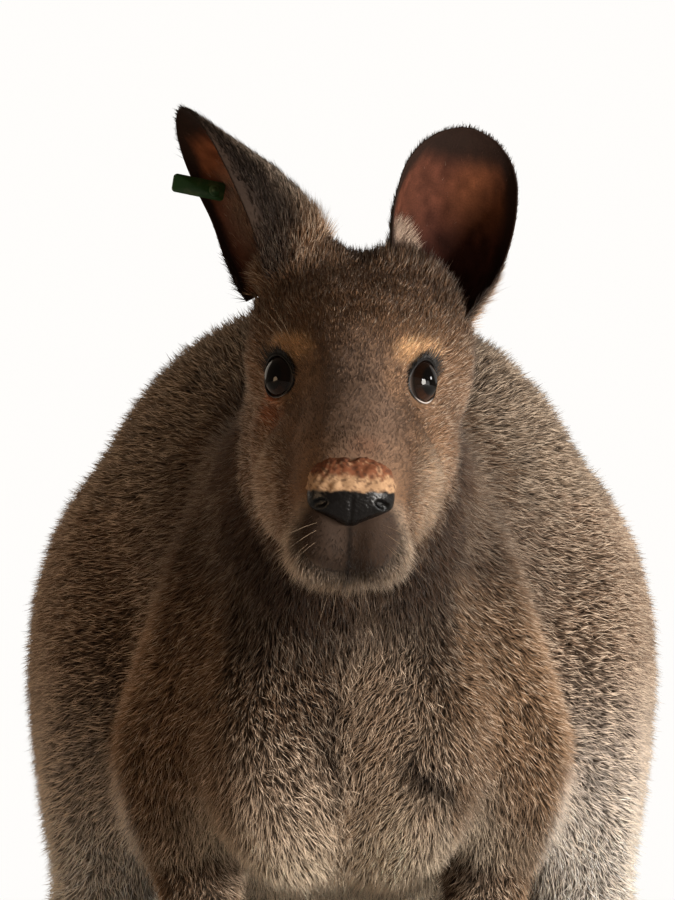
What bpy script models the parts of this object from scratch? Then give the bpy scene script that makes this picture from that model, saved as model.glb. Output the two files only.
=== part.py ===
"""Life-size red-necked wallaby, crouched on its hind feet, hands and tail.

The animal faces -Y and stands on z = 0. Its left side is +X. All sizes are in metres and are
taken at the tips of the coat. The soft body is one form, fused from lofts along the head, trunk,
tail and limbs, and then parted with thin flat cuts into the parts that a person would name.
Eyes, nose pad, ears, claws and the ear tag are pieces of their own.
"""
import math
from collections import namedtuple

import bmesh
import bpy
from mathutils import Matrix, Vector
# Driving dimensions
EYE_HEIGHT = 0.400          # eyes above the floor
EYE_FORWARD = -0.200        # eyes in front of the shoulders
HEAD_SHIFT = 0.0035         # the head is held a little to the left
HEAD_PITCH = math.radians(32)
HEAD_YAW = math.radians(1.2)
HEAD_SWAY = 0.10            # how far the skull behind the eyes swings to the left, for each metre back
HEAD_ROLL = math.radians(2.0)
EYE_SPREAD = 0.0236         # from the middle of the head to an eyeball's centre
EYE_SINK = 0.0010           # how far the eyeball's centre lies behind the eye line
EYE_RADIUS = 0.0118
BACK_TOP = 0.443            # highest point of the arched back
HAUNCH_HALF_WIDTH = 0.1465
EAR_LENGTH = 0.084
EAR_THICKNESS = 0.0030
GAP = 0.0003                # air between neighbours that touch
FLOOR_CUT = 0.0030          # how far soles and tail are pressed flat

# How the soft body is fused, eased and thinned
VOXEL = 0.0032
DETAIL_EASE = 4             # easing passes over everything
BROAD_EASE = 60             # more passes where the body flows from one form to the next
DETAIL_PULL = 0.5           # how far a pass moves a point towards its neighbours
BROAD_PULL = 0.8
HEAD_BACK = -0.150          # behind this the head's passes fade into the body's
PAW_TOP = 0.050
HEEL_BACK = 0.262
EASE_FADE = 0.030
FINE_FACES = 9300           # faces of the whole form from which head, hands and feet are cut
COARSE_FACES = 2850         # faces of the whole form from which the other parts are cut
CUT_FACE_SHARE = 0.68       # faces kept of a part, once its flat cuts have added theirs
CRUMB = 1e-5                # edges shorter than this are closed up
FAR = 2.0                   # larger than anything in the model

SIDES = {"left": 1.0, "right": -1.0}
FLOOR_PARTS = ("hand", "foot", "tail")
COLLECTION_NAME = "wallaby"
GUIDE_NAME = "wallaby_guides"

# Finishes: name, colour and roughness
FUR_BROWN = ("fur_brown", (0.20, 0.145, 0.10), 0.9)
FUR_GREY = ("fur_grey", (0.33, 0.27, 0.21), 0.9)
FUR_DARK = ("fur_dark", (0.07, 0.05, 0.04), 0.9)
NOSE_LEATHER = ("nose_leather", (0.03, 0.025, 0.025), 0.45)
EYE_GLOSS = ("eye_gloss", (0.015, 0.01, 0.008), 0.05)
CLAW_HORN = ("claw_horn", (0.03, 0.027, 0.025), 0.35)
TAG_GREEN = ("tag_green", (0.015, 0.06, 0.03), 0.4)
ROUND_EDGE = 40             # edges sharper than this many degrees stay sharp
TAG_EDGE = 30

# A section of a loft: its centre, its half-width, and its heights above and below the centre.
Station = namedtuple("Station", "x y z wide above below")
# A cut that parts the body: a box given from a point, and its turn about X through that point.
Cut = namedtuple("Cut", "name point turn box")

# The head, in a frame whose origin lies between the eyes: x to the left, y back, z up,
# before the muzzle is pitched down. Each row gives the distance in front of the eyes, the
# half-width, and the heights of the profile above and below the eye line.
HEAD_PROFILE = (
    (0.0925, 0.0100, 0.000, -0.030),
    (0.0890, 0.0180, 0.009, -0.040),
    (0.0800, 0.0234, 0.0155, -0.0480),
    (0.0660, 0.0250, 0.0200, -0.0520),
    (0.0480, 0.0246, 0.0222, -0.054),
    (0.0320, 0.0236, 0.0245, -0.058),
    (0.0180, 0.0240, 0.0275, -0.062),
    (0.0020, 0.0300, 0.0300, -0.065),
    (-0.012, 0.0385, 0.0300, -0.066),
    (-0.032, 0.0470, 0.0280, -0.066),
    (-0.056, 0.0480, 0.0225, -0.063),
    (-0.080, 0.0400, 0.0150, -0.055),
    (-0.096, 0.0270, 0.0040, -0.042),
)
HEAD_WAIST = 0.46           # where a head section is widest, as a share of its height from the top

TRUNK = (
    Station(0.0, -0.118, 0.318, 0.030, 0.030, 0.034),
    Station(0.0, -0.098, 0.312, 0.050, 0.052, 0.064),
    Station(0.0, -0.050, 0.302, 0.068, 0.078, 0.098),
    Station(0.0, 0.010, 0.296, 0.090, 0.112, 0.122),
    Station(0.0, 0.075, 0.292, 0.114, 0.142, 0.138),
    Station(0.0, 0.135, 0.288, 0.125, BACK_TOP - 0.288, 0.142),
    Station(0.0, 0.195, 0.276, 0.122, 0.144, 0.132),
    Station(0.0, 0.250, 0.250, 0.100, 0.116, 0.112),
    Station(0.0, 0.296, 0.214, 0.070, 0.080, 0.082),
    Station(0.0, 0.332, 0.168, 0.050, 0.052, 0.054),
    Station(0.0, 0.356, 0.128, 0.036, 0.036, 0.038),
)

NECK = (
    Station(0.004, -0.175, 0.392, 0.036, 0.036, 0.050),
    Station(0.003, -0.140, 0.376, 0.047, 0.054, 0.062),
    Station(0.001, -0.100, 0.352, 0.056, 0.062, 0.072),
    Station(0.000, -0.050, 0.330, 0.066, 0.072, 0.084),
    Station(0.000, 0.000, 0.315, 0.070, 0.080, 0.080),
)

TAIL = (
    Station(0.000, 0.262, 0.225, 0.060, 0.066, 0.064),
    Station(0.000, 0.312, 0.172, 0.050, 0.052, 0.050),
    Station(0.001, 0.355, 0.118, 0.041, 0.042, 0.042),
    Station(0.003, 0.402, 0.068, 0.035, 0.035, 0.035),
    Station(0.007, 0.455, 0.038, 0.031, 0.031, 0.0325),
    Station(0.013, 0.520, 0.0272, 0.0275, 0.0272, 0.0272),
    Station(0.022, 0.600, 0.0242, 0.0245, 0.0242, 0.0242),
    Station(0.034, 0.690, 0.0210, 0.0212, 0.0210, 0.0210),
    Station(0.046, 0.780, 0.0176, 0.0178, 0.0176, 0.0176),
    Station(0.055, 0.860, 0.0142, 0.0142, 0.0142, 0.0142),
    Station(0.060, 0.920, 0.0112, 0.0110, 0.0112, 0.0112),
    Station(0.062, 0.950, 0.0088, 0.0060, 0.0060, 0.0088),
)

UPPER_ARM = (
    Station(0.040, -0.030, 0.356, 0.016, 0.026, 0.026),
    Station(0.044, -0.034, 0.337, 0.027, 0.040, 0.040),
    Station(0.050, -0.036, 0.305, 0.033, 0.046, 0.044),
    Station(0.059, -0.036, 0.272, 0.035, 0.044, 0.042),
    Station(0.067, -0.034, 0.240, 0.0365, 0.040, 0.038),
    Station(0.068, -0.028, 0.212, 0.031, 0.033, 0.032),
    Station(0.063, -0.020, 0.190, 0.021, 0.024, 0.023),
    Station(0.061, -0.014, 0.176, 0.011, 0.013, 0.013),
)

FOREARM = (
    Station(0.062, -0.012, 0.200, 0.015, 0.016, 0.018),
    Station(0.062, -0.026, 0.184, 0.021, 0.021, 0.024),
    Station(0.059, -0.052, 0.146, 0.019, 0.019, 0.020),
    Station(0.054, -0.078, 0.100, 0.0150, 0.0145, 0.0155),
    Station(0.050, -0.098, 0.058, 0.0125, 0.0115, 0.0120),
    Station(0.048, -0.108, 0.034, 0.0130, 0.0110, 0.0115),
    Station(0.047, -0.112, 0.022, 0.0110, 0.0100, 0.0100),
)

PALM = (
    Station(0.048, -0.098, 0.016, 0.0090, 0.008, 0.010),
    Station(0.047, -0.108, 0.0150, 0.0140, 0.0115, 0.0150),
    Station(0.045, -0.124, 0.0115, 0.0165, 0.0100, 0.0130),
    Station(0.044, -0.136, 0.0090, 0.0160, 0.0075, 0.0100),
    Station(0.044, -0.143, 0.0075, 0.0110, 0.0055, 0.0080),
)

THIGH = (
    Station(0.056, 0.286, 0.236, 0.030, 0.044, 0.040),
    Station(0.062, 0.258, 0.248, 0.058, 0.084, 0.082),
    Station(0.070, 0.204, 0.266, HAUNCH_HALF_WIDTH - 0.070, 0.110, 0.122),
    Station(0.078, 0.140, 0.268, HAUNCH_HALF_WIDTH - 0.078, 0.108, 0.130),
    Station(0.088, 0.082, 0.244, 0.0530, 0.088, 0.108),
    Station(0.097, 0.038, 0.212, 0.0400, 0.060, 0.074),
    Station(0.102, 0.012, 0.188, 0.0270, 0.034, 0.040),
    Station(0.103, -0.002, 0.176, 0.0120, 0.014, 0.016),
)

SHANK = (
    Station(0.102, 0.004, 0.186, 0.020, 0.020, 0.022),
    Station(0.103, 0.030, 0.160, 0.0330, 0.036, 0.040),
    Station(0.100, 0.080, 0.126, 0.0340, 0.040, 0.042),
    Station(0.094, 0.135, 0.092, 0.0250, 0.030, 0.030),
    Station(0.088, 0.185, 0.062, 0.0180, 0.021, 0.021),
    Station(0.085, 0.220, 0.040, 0.0155, 0.018, 0.020),
    Station(0.084, 0.232, 0.026, 0.0120, 0.013, 0.016),
)

FOOT = (
    Station(0.084, 0.243, 0.018, 0.0100, 0.012, 0.014),
    Station(0.084, 0.232, 0.0165, 0.0150, 0.018, 0.0175),
    Station(0.0845, 0.200, 0.0155, 0.0160, 0.0165, 0.0165),
    Station(0.086, 0.150, 0.0150, 0.0165, 0.0150, 0.0160),
    Station(0.088, 0.100, 0.0145, 0.0190, 0.0145, 0.0155),
    Station(0.090, 0.065, 0.0135, 0.0200, 0.0135, 0.0145),
    Station(0.091, 0.048, 0.0120, 0.0150, 0.0105, 0.0125),
)

FOURTH_TOE = (
    Station(0.091, 0.070, 0.0120, 0.0100, 0.010, 0.0125),
    Station(0.092, 0.040, 0.0115, 0.0092, 0.0105, 0.0125),
    Station(0.093, 0.018, 0.0105, 0.0085, 0.0095, 0.0115),
    Station(0.093, 0.008, 0.0095, 0.0055, 0.0060, 0.0090),
)

FIFTH_TOE = (
    Station(0.100, 0.080, 0.0110, 0.0075, 0.008, 0.0115),
    Station(0.105, 0.058, 0.0098, 0.0066, 0.0080, 0.0105),
    Station(0.108, 0.042, 0.0088, 0.0058, 0.0068, 0.0095),
    Station(0.109, 0.035, 0.0078, 0.0036, 0.0042, 0.0072),
)

GROOMING_TOES = (
    Station(0.080, 0.085, 0.0110, 0.0055, 0.0070, 0.0115),
    Station(0.077, 0.064, 0.0095, 0.0052, 0.0065, 0.0100),
    Station(0.076, 0.052, 0.0085, 0.0042, 0.0052, 0.0090),
)

FINGER_COUNT = 5
FINGER_FAN = math.radians(13)
FINGER_SPACING = 0.0066
FINGER_ARCH = 0.0022        # how far a knuckle lies behind its inner neighbour's
FINGER_LENGTHS = (0.020, 0.025, 0.028, 0.025, 0.019)
FINGER_ROOT = Vector((0.0445, -0.130, 0.0085))
FINGER_RADIUS = 0.0046
# A finger by its length: share of the length, height above its root, share of its radius.
FINGER_PROFILE = (
    (0.0, 0.0, 0.9),
    (0.4, 0.0, 1.0),
    (0.8, -0.0028, 0.88),
    (1.0, -0.0042, 0.5),
)

LIMB_FORMS = (
    ("upper_arm", UPPER_ARM, 2.1),
    ("forearm", FOREARM, 2.0),
    ("palm", PALM, 2.4),
    ("thigh", THIGH, 2.1),
    ("shank", SHANK, 2.0),
    ("foot", FOOT, 2.4),
    ("fourth_toe", FOURTH_TOE, 2.2),
    ("fifth_toe", FIFTH_TOE, 2.2),
    ("grooming_toes", GROOMING_TOES, 2.2),
)

# Swellings of the face, from between the eyes and without the pitch.
HEAD_SWELLINGS = (
    ("brow", (0.0240, 0.0050, 0.0140), (0.0112, 0.0130, 0.0062)),
    ("cheek", (0.0240, 0.0300, -0.0270), (0.0205, 0.0330, 0.0330)),
    ("jowl", (0.0170, -0.0020, -0.0460), (0.0190, 0.0360, 0.0230)),
    ("lip", (0.0105, -0.0540, -0.0655), (0.0145, 0.0215, 0.0155)),
    ("muzzle_front", (0.0100, -0.0500, -0.0520), (0.0145, 0.0260, 0.0230)),
    ("muzzle_side", (0.0145, -0.0320, -0.0470), (0.0170, 0.0280, 0.0260)),
    ("cheek_front", (0.0180, -0.0130, -0.0400), (0.0190, 0.0300, 0.0290)),
    ("temple", (0.0280, 0.0400, 0.0080), (0.0205, 0.0260, 0.0260)),
)
BODY_SWELLINGS = (
    ("breast", (0.020, -0.078, 0.255), (0.046, 0.048, 0.078)),
    ("shoulder_blade", (0.034, -0.010, 0.340), (0.034, 0.056, 0.050)),
)

# Each ear: its place from between the eyes, the turn of its opening about the upright, how
# far it leans out and back, and the swelling of fur and muscle at its root.
EARS = {
    "left": {
        "foot": Vector((0.0351, 0.0434, 0.0235)),
        "facing": math.radians(5),
        "lean": math.radians(8),
        "back_lean": math.radians(2),
        "root": (
            Station(0.0080, 0.045, 0.040, 0.010, 0.012, 0.0160),
            Station(0.0180, 0.047, 0.045, 0.013, 0.015, 0.0200),
            Station(0.0300, 0.052, 0.034, 0.016, 0.014, 0.020),
            Station(0.0380, 0.055, 0.026, 0.012, 0.010, 0.016),
        ),
    },
    "right": {
        "foot": Vector((-0.0352, 0.0438, 0.0360)),
        "facing": math.radians(-74),
        "lean": math.radians(-29),
        "back_lean": math.radians(0),
        "root": (
            Station(0.0030, 0.049, 0.037, 0.009, 0.013, 0.014),
            Station(-0.0080, 0.049, 0.044, 0.013, 0.018, 0.018),
            Station(-0.0220, 0.050, 0.044, 0.018, 0.020, 0.022),
            Station(-0.0360, 0.049, 0.034, 0.012, 0.014, 0.018),
        ),
    },
}
# An ear's blade by height: share of its length, chord between its rims, depth of its cup, and
# half the angle that its section sweeps.
EAR_BLADE = (
    (0.000, 0.0180, 0.0260, 120),
    (0.120, 0.0290, 0.0320, 112),
    (0.300, 0.0440, 0.0310, 100),
    (0.480, 0.0500, 0.0260, 92),
    (0.660, 0.0500, 0.0170, 82),
    (0.800, 0.0450, 0.0095, 72),
    (0.910, 0.0330, 0.0042, 62),
    (0.975, 0.0180, 0.0016, 56),
    (1.000, 0.0060, 0.0004, 52),
)
EAR_ROWS = 1
EAR_COLUMNS = 8
EAR_SWEEP_BACK = 0.002      # how far the tip bends back from the line of the root
EAR_LOBE = 0.0075           # how far the outer rim bulges out low down
EAR_LOBE_TOP = 0.50         # the share of the length at which that ends

NOSE_CENTRE = Vector((0.0, -0.0690, -0.0455))
NOSE_RADII = Vector((0.0176, 0.0140, 0.0142))
NOSTRIL_CENTRE = Vector((0.0132, -0.0790, -0.0500))
NOSTRIL_RADII = (0.0036, 0.0060, 0.0026)

# A claw by its length: share of the length, share of its radius.
CLAW_PROFILE = (
    (0.0, 0.9),
    (0.35, 1.0),
    (0.7, 0.66),
    (1.0, 0.18),
)
CLAW_DROP = 0.18            # how far a claw's tip bends down, as a share of its length
CLAW_THIN = 0.8             # a claw's width, as a share of its height
CLAW_LIFT = Vector((0.0, 0.0, 0.0018))  # a finger's claw grows from the top of its tip
# Claws: free length, radius, and how deep the root goes into its digit.
HAND_CLAW = (0.0095, 0.0019, 0.004)
TOE_CLAWS = (
    ("toe_claw_large", FOURTH_TOE, (0.020, 0.0046, 0.009)),
    ("toe_claw_outer", FIFTH_TOE, (0.014, 0.0032, 0.006)),
    ("toe_claw_grooming", GROOMING_TOES, (0.009, 0.0026, 0.005)),
)

# The tag's plate stands out past the right ear's rim, and its pin goes through the ear.
TAG_SIZE = Vector((0.0015, 0.0225, 0.0078))
TAG_REACH = 0.0100          # how far the plate stands out past the ear's rim
TAG_HEIGHT = 0.0518         # its height on the ear
TAG_INSET = 0.0208          # from the ear's middle line to the plate
TAG_OVERLAP = 0.0010        # how far the plate's end goes in behind the rim
TAG_TILT = math.radians(37)
TAG_BEVEL = 0.0005
STUD_SETBACK = 0.0045       # from the plate's inner end to the pin
STUD_RADIUS = 0.0013
STUD_LENGTH = EAR_THICKNESS + 0.0040
BUTTON_RADIUS = 0.0034
BUTTON_THICKNESS = 0.0012
PIN_SIDES = 10

# Where the one form is parted. Limb cuts are for the left side and are mirrored.
HEAD_CUT = Cut("head", (0, -0.148, 0.350), -24, ((-FAR, -FAR, -FAR), (FAR, 0, FAR)))
NECK_CUT = Cut("neck", (0, -0.100, 0.330), -41, ((-FAR, -FAR, -FAR), (FAR, 0, FAR)))
TAIL_CUTS = (
    Cut("tail_tip", (0, 0.760, 0), 0, ((-FAR, 0, -FAR), (FAR, FAR, FAR))),
    Cut("tail_middle", (0, 0.560, 0), 0, ((-FAR, 0, -FAR), (FAR, FAR, FAR))),
    Cut("tail_base", (0, 0.315, 0.170), -48, ((-0.0625, 0, -0.25), (0.0625, FAR, 0.25))),
)
FINE_LIMB_CUTS = (
    Cut("hand", (0, -0.104, 0.034), 0, ((0.005, -0.10, -0.10), (0.100, 0.035, 0.0))),
    Cut("foot", (0, 0.212, 0.046), 0, ((0.040, -0.30, -0.10), (0.200, 0.06, 0.0))),
)
COARSE_LIMB_CUTS = (
    Cut("forearm", (0, -0.020, 0.186), 22, ((0.036, -0.20, -0.20), (0.092, 0.020, 0.0))),
    Cut("upper_arm", (0, 0.006, 0.180), 8, ((0.051, -0.20, -0.05), (0.200, 0.0, 0.158))),
    Cut("shank", (0, 0.0, 0.155), -14, ((0.058, -0.05, -0.20), (0.200, 0.30, 0.0))),
    Cut("thigh", (0, 0.0, 0.120), 0, ((0.072, -0.05, -0.05), (0.200, 0.40, 0.235))),
)
TRUNK_CUTS = (
    Cut("chest", (0, 0.030, 0), 0, ((-FAR, -FAR, -FAR), (FAR, 0, FAR))),
    Cut("rump", (0, 0.185, 0), 0, ((-FAR, 0, -FAR), (FAR, FAR, FAR))),
)


def clear_scene():
    """Removes whatever the start-up scene holds."""
    for thing in list(bpy.data.objects):
        bpy.data.objects.remove(thing, do_unlink=True)


def new_collection(name):
    """A collection linked to the scene."""
    collection = bpy.data.collections.new(name)
    bpy.context.scene.collection.children.link(collection)
    return collection


def material(finish_values):
    """A Principled material with one colour, from its name, colour and roughness."""
    name, colour, roughness = finish_values
    made = bpy.data.materials.get(name)
    if made is None:
        made = bpy.data.materials.new(name)
        made.use_nodes = True
        shader = made.node_tree.nodes["Principled BSDF"]
        shader.inputs["Base Color"].default_value = (*colour, 1.0)
        shader.inputs["Roughness"].default_value = roughness
        shader.inputs["Metallic"].default_value = 0.0
    return made


def to_object(name, form, collection):
    """Turns a bmesh into an object and frees the bmesh."""
    mesh = bpy.data.meshes.new(name)
    form.to_mesh(mesh)
    form.free()
    made = bpy.data.objects.new(name, mesh)
    collection.objects.link(made)
    return made


def applied(piece):
    """Replaces a piece's mesh with what its modifiers make of it."""
    bpy.context.view_layer.update()
    depsgraph = bpy.context.evaluated_depsgraph_get()
    mesh = bpy.data.meshes.new_from_object(piece.evaluated_get(depsgraph))
    piece.modifiers.clear()
    old = piece.data
    piece.data = mesh
    bpy.data.meshes.remove(old)
    return piece


def catmull(before, start, end, after, step):
    """A Catmull-Rom spline's value between start and end, for numbers or vectors."""
    square = step * step
    cube = square * step
    bend = (2.0 * before - 5.0 * start + 4.0 * end - after) * square
    twist = (3.0 * start - before - 3.0 * end + after) * cube
    return 0.5 * (2.0 * start + (end - before) * step + bend + twist)


def smooth_stations(stations, steps):
    """Stations read off a smooth curve through the given ones."""
    smooth = []
    last = len(stations) - 1
    for index in range(last):
        before = stations[max(index - 1, 0)]
        start = stations[index]
        end = stations[index + 1]
        after = stations[min(index + 2, last)]
        for count in range(steps):
            share = count / steps
            fields = zip(before, start, end, after)
            smooth.append(Station(*(catmull(a, b, c, d, share) for a, b, c, d in fields)))
    smooth.append(stations[last])
    return smooth


def rounded(value, power):
    """A sine or cosine pushed outwards, which makes a section squarer as power falls."""
    return math.copysign(abs(value) ** power, value)


def loft(name, stations, collection, sides=28, steps=5, square=2.2, turn=None):
    """A closed tube of unlike oval sections along a smooth path, with domed ends.

    A section has one half-width and separate heights above and below its path.
    """
    rings = smooth_stations(stations, steps)
    centres = [Vector((ring.x, ring.y, ring.z)) for ring in rings]
    form = bmesh.new()
    loops = []
    power = 2.0 / square
    last = len(rings) - 1
    for index, ring in enumerate(rings):
        along = (centres[min(index + 1, last)] - centres[max(index - 1, 0)]).normalized()
        across = (Vector((1, 0, 0)) - along * along.x).normalized()
        upward = across.cross(along)
        if upward.z < 0.0 and abs(upward.z) > 0.2:
            upward = -upward
        loop = []
        for side in range(sides):
            angle = 2.0 * math.pi * side / sides
            reach = ring.above if math.sin(angle) > 0.0 else ring.below
            place = centres[index] + across * ring.wide * rounded(math.cos(angle), power)
            place += upward * reach * rounded(math.sin(angle), power)
            loop.append(form.verts.new(place))
        loops.append(loop)
    for first, second in zip(loops, loops[1:]):
        for side in range(sides):
            beside = (side + 1) % sides
            form.faces.new((first[side], first[beside], second[beside], second[side]))
    form.faces.new(loops[0])
    form.faces.new(loops[-1])
    bmesh.ops.recalc_face_normals(form, faces=form.faces)
    made = to_object(name, form, collection)
    if turn is not None:
        made.data.transform(turn)
    return made


def ball(name, centre, radii, collection, turn=None, segments=24, rings=14):
    """An ellipsoid, turned about its own centre."""
    form = bmesh.new()
    bmesh.ops.create_uvsphere(form, u_segments=segments, v_segments=rings, radius=1.0)
    bmesh.ops.scale(form, vec=Vector(radii), verts=form.verts)
    if turn is not None:
        bmesh.ops.transform(form, matrix=turn.to_4x4(), verts=form.verts)
    bmesh.ops.translate(form, vec=Vector(centre), verts=form.verts)
    return to_object(name, form, collection)


def mirrored(stations):
    """The same stations on the other side of the body."""
    return [station._replace(x=-station.x) for station in stations]


def head_stations():
    """The head's sections, in its own frame before the pitch."""
    stations = []
    for forward, wide, top, bottom in HEAD_PROFILE:
        middle = top + (bottom - top) * HEAD_WAIST
        stations.append(Station(sway(-forward), -forward, middle, wide, top - middle, middle - bottom))
    return stations


def sway(back):
    """The sideways swing of the skull at a distance behind the eyes."""
    return HEAD_SWAY * max(0.0, back)


def head_carriage():
    """The head's place without its pitch: x to the left, y back, z up, from between the eyes."""
    place = Matrix.Translation((HEAD_SHIFT, EYE_FORWARD, EYE_HEIGHT))
    return place @ Matrix.Rotation(HEAD_ROLL, 4, "Y") @ Matrix.Rotation(HEAD_YAW, 4, "Z")


def finger_stations(index):
    """One finger of the left hand, from the palm to its tip on the floor."""
    middle = (FINGER_COUNT - 1) / 2
    spread = index - middle
    turn = FINGER_FAN * spread
    length = FINGER_LENGTHS[index]
    root = FINGER_ROOT + Vector((spread * FINGER_SPACING, abs(spread) * FINGER_ARCH, 0.0))
    stations = []
    for share, height, size in FINGER_PROFILE:
        reach = share * length
        place = root + Vector((math.sin(turn) * reach, -math.cos(turn) * reach, height))
        radius = FINGER_RADIUS * size
        stations.append(Station(*place, radius, radius, radius))
    return stations


def fused(name, pieces, collection):
    """One skin over all the pieces, with the creases between them eased."""
    form = bmesh.new()
    for piece in pieces:
        form.from_mesh(piece.data)
        bpy.data.objects.remove(piece, do_unlink=True)
    made = to_object(name, form, collection)
    remesh = made.modifiers.new("skin", "REMESH")
    remesh.mode = "VOXEL"
    remesh.voxel_size = VOXEL
    applied(made)
    broad = made.vertex_groups.new(name="broad")
    for point in made.data.vertices:
        broad.add([point.index], broad_share(point.co), "REPLACE")
    ease = made.modifiers.new("ease", "SMOOTH")
    ease.factor = DETAIL_PULL
    ease.iterations = DETAIL_EASE
    flow = made.modifiers.new("flow", "SMOOTH")
    flow.factor = BROAD_PULL
    flow.iterations = BROAD_EASE
    flow.vertex_group = broad.name
    return applied(made)


def broad_share(place):
    """How far a point of the skin is eased: fully on the body, not on head, hands and feet."""
    behind_head = (place.y - HEAD_BACK) / EASE_FADE
    above_paws = (place.z - PAW_TOP) / EASE_FADE
    tail = 1.0 if place.y > HEEL_BACK else 0.0
    return max(0.0, min(1.0, behind_head, max(above_paws, tail)))


def thinned(name, source, faces, collection):
    """A copy of the source with about so many triangles."""
    made = bpy.data.objects.new(name, source.data.copy())
    collection.objects.link(made)
    thin = made.modifiers.new("thin", "DECIMATE")
    thin.use_collapse_triangulate = True
    thin.ratio = faces / (2.0 * len(source.data.polygons))
    return applied(made)


def combined(piece, cutter, operation):
    """Cuts, joins or trims a piece with a closed cutter, and applies the result."""
    boolean = piece.modifiers.new("cut", "BOOLEAN")
    boolean.operation = operation
    boolean.solver = "EXACT"
    boolean.object = cutter
    return applied(piece)


def guide(thing):
    """Marks a cutter, which is no part of the model."""
    thing.hide_render = True
    thing.display_type = "WIRE"
    return thing


def block(name, low, high, turn, collection):
    """A cutter's box between two corners, carried by a turn given as a matrix."""
    form = bmesh.new()
    bmesh.ops.create_cube(form, size=1.0)
    low = Vector(low)
    high = Vector(high)
    bmesh.ops.scale(form, vec=high - low, verts=form.verts)
    bmesh.ops.translate(form, vec=(low + high) / 2, verts=form.verts)
    bmesh.ops.transform(form, matrix=turn, verts=form.verts)
    return guide(to_object(name, form, collection))


def largest_body(piece):
    """Drops the crumbs that a cut may leave, and keeps the largest connected body."""
    form = bmesh.new()
    form.from_mesh(piece.data)
    left = set(form.verts)
    bodies = []
    while left:
        seed = left.pop()
        body = {seed}
        edge = [seed]
        while edge:
            point = edge.pop()
            for link in point.link_edges:
                other = link.other_vert(point)
                if other in left:
                    left.discard(other)
                    body.add(other)
                    edge.append(other)
        bodies.append(body)
    bodies.sort(key=len)
    crumbs = [point for body in bodies[:-1] for point in body]
    bmesh.ops.delete(form, geom=crumbs, context="VERTS")
    bmesh.ops.dissolve_degenerate(form, edges=form.edges, dist=CRUMB)
    bmesh.ops.triangulate(form, faces=form.faces)
    form.to_mesh(piece.data)
    form.free()
    return piece


def finish(piece, finish_values, angle=ROUND_EDGE):
    """Gives a piece its only material and smooth shading."""
    piece.data.materials.clear()
    piece.data.materials.append(material(finish_values))
    piece.data.shade_smooth()
    piece.data.set_sharp_from_angle(angle=math.radians(angle))
    return piece


def cut_block(cut, mirror, grow, guides):
    """The box of one cut, grown by the gap when it is to be taken from what is left."""
    low = Vector(cut.box[0]) - Vector((grow, grow, grow))
    high = Vector(cut.box[1]) + Vector((grow, grow, grow))
    if mirror < 0:
        low.x, high.x = -high.x, -low.x
    turn = Matrix.Translation(cut.point) @ Matrix.Rotation(math.radians(cut.turn), 4, "X")
    return block(f"cut_{cut.name}", low, high, turn, guides)


def share_out(sources, cut, mirror, source, name, floor, parts, guides):
    """Takes the part inside a cut's box from one source, and clears it from all of them.

    Hands, feet and tail are pressed flat at the floor once their faces have been thinned.
    """
    piece = bpy.data.objects.new(name, sources[source].data.copy())
    parts.objects.link(piece)
    combined(piece, cut_block(cut, mirror, 0.0, guides), "INTERSECT")
    clearance = cut_block(cut, mirror, GAP, guides)
    for form in sources.values():
        combined(form, clearance, "DIFFERENCE")
    if name != "head":
        lighten = piece.modifiers.new("lighten", "DECIMATE")
        lighten.use_collapse_triangulate = True
        lighten.ratio = CUT_FACE_SHARE
        applied(piece)
    if name.startswith(FLOOR_PARTS):
        combined(piece, floor, "DIFFERENCE")
    return largest_body(piece)


def body_forms(guides):
    """The lofts and balls that the soft body is fused from."""
    carriage = head_carriage()
    turn = carriage @ Matrix.Rotation(HEAD_PITCH, 4, "X")
    forms = [
        loft("trunk_form", TRUNK, guides, sides=40),
        loft("neck_form", NECK, guides),
        loft("tail_form", TAIL, guides, sides=20, square=2.0),
        loft("head_form", head_stations(), guides, sides=36, square=2.35, turn=turn),
    ]
    for side, mirror in SIDES.items():
        for name, stations, square in LIMB_FORMS:
            run = stations if mirror > 0 else mirrored(stations)
            forms.append(loft(f"{name}_form_{side}", run, guides, sides=20, square=square))
        for index in range(FINGER_COUNT):
            run = finger_stations(index)
            run = run if mirror > 0 else mirrored(run)
            forms.append(loft(f"finger_form_{side}_{index}", run, guides, sides=12, square=2.0))
        for name, centre, radii in HEAD_SWELLINGS:
            place = Vector((centre[0] * mirror + sway(centre[1]), centre[1], centre[2]))
            swelling = ball(f"{name}_form_{side}", place, radii, guides)
            swelling.data.transform(carriage)
            forms.append(swelling)
        for name, centre, radii in BODY_SWELLINGS:
            place = Vector((centre[0] * mirror, centre[1], centre[2]))
            forms.append(ball(f"{name}_form_{side}", place, radii, guides))
        root = EARS[side]["root"]
        forms.append(loft(f"ear_root_{side}", root, guides, sides=16, square=2.0, turn=carriage))
    return forms


def ear_turn(side):
    """The place of an ear's own frame: blade up along z, opening towards -y."""
    ear = EARS[side]
    lean = Matrix.Rotation(ear["back_lean"], 4, "X") @ Matrix.Rotation(ear["lean"], 4, "Y")
    own = Matrix.Translation(ear["foot"]) @ lean @ Matrix.Rotation(ear["facing"], 4, "Z")
    return head_carriage() @ own


def lobe_share(height):
    """How much of the lobe's bulge an ear's outer rim has at a height: all at the root, then less."""
    share = min(height / EAR_LOBE_TOP, 1.0)
    return 1.0 - share * share * (3.0 - 2.0 * share)


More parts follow.
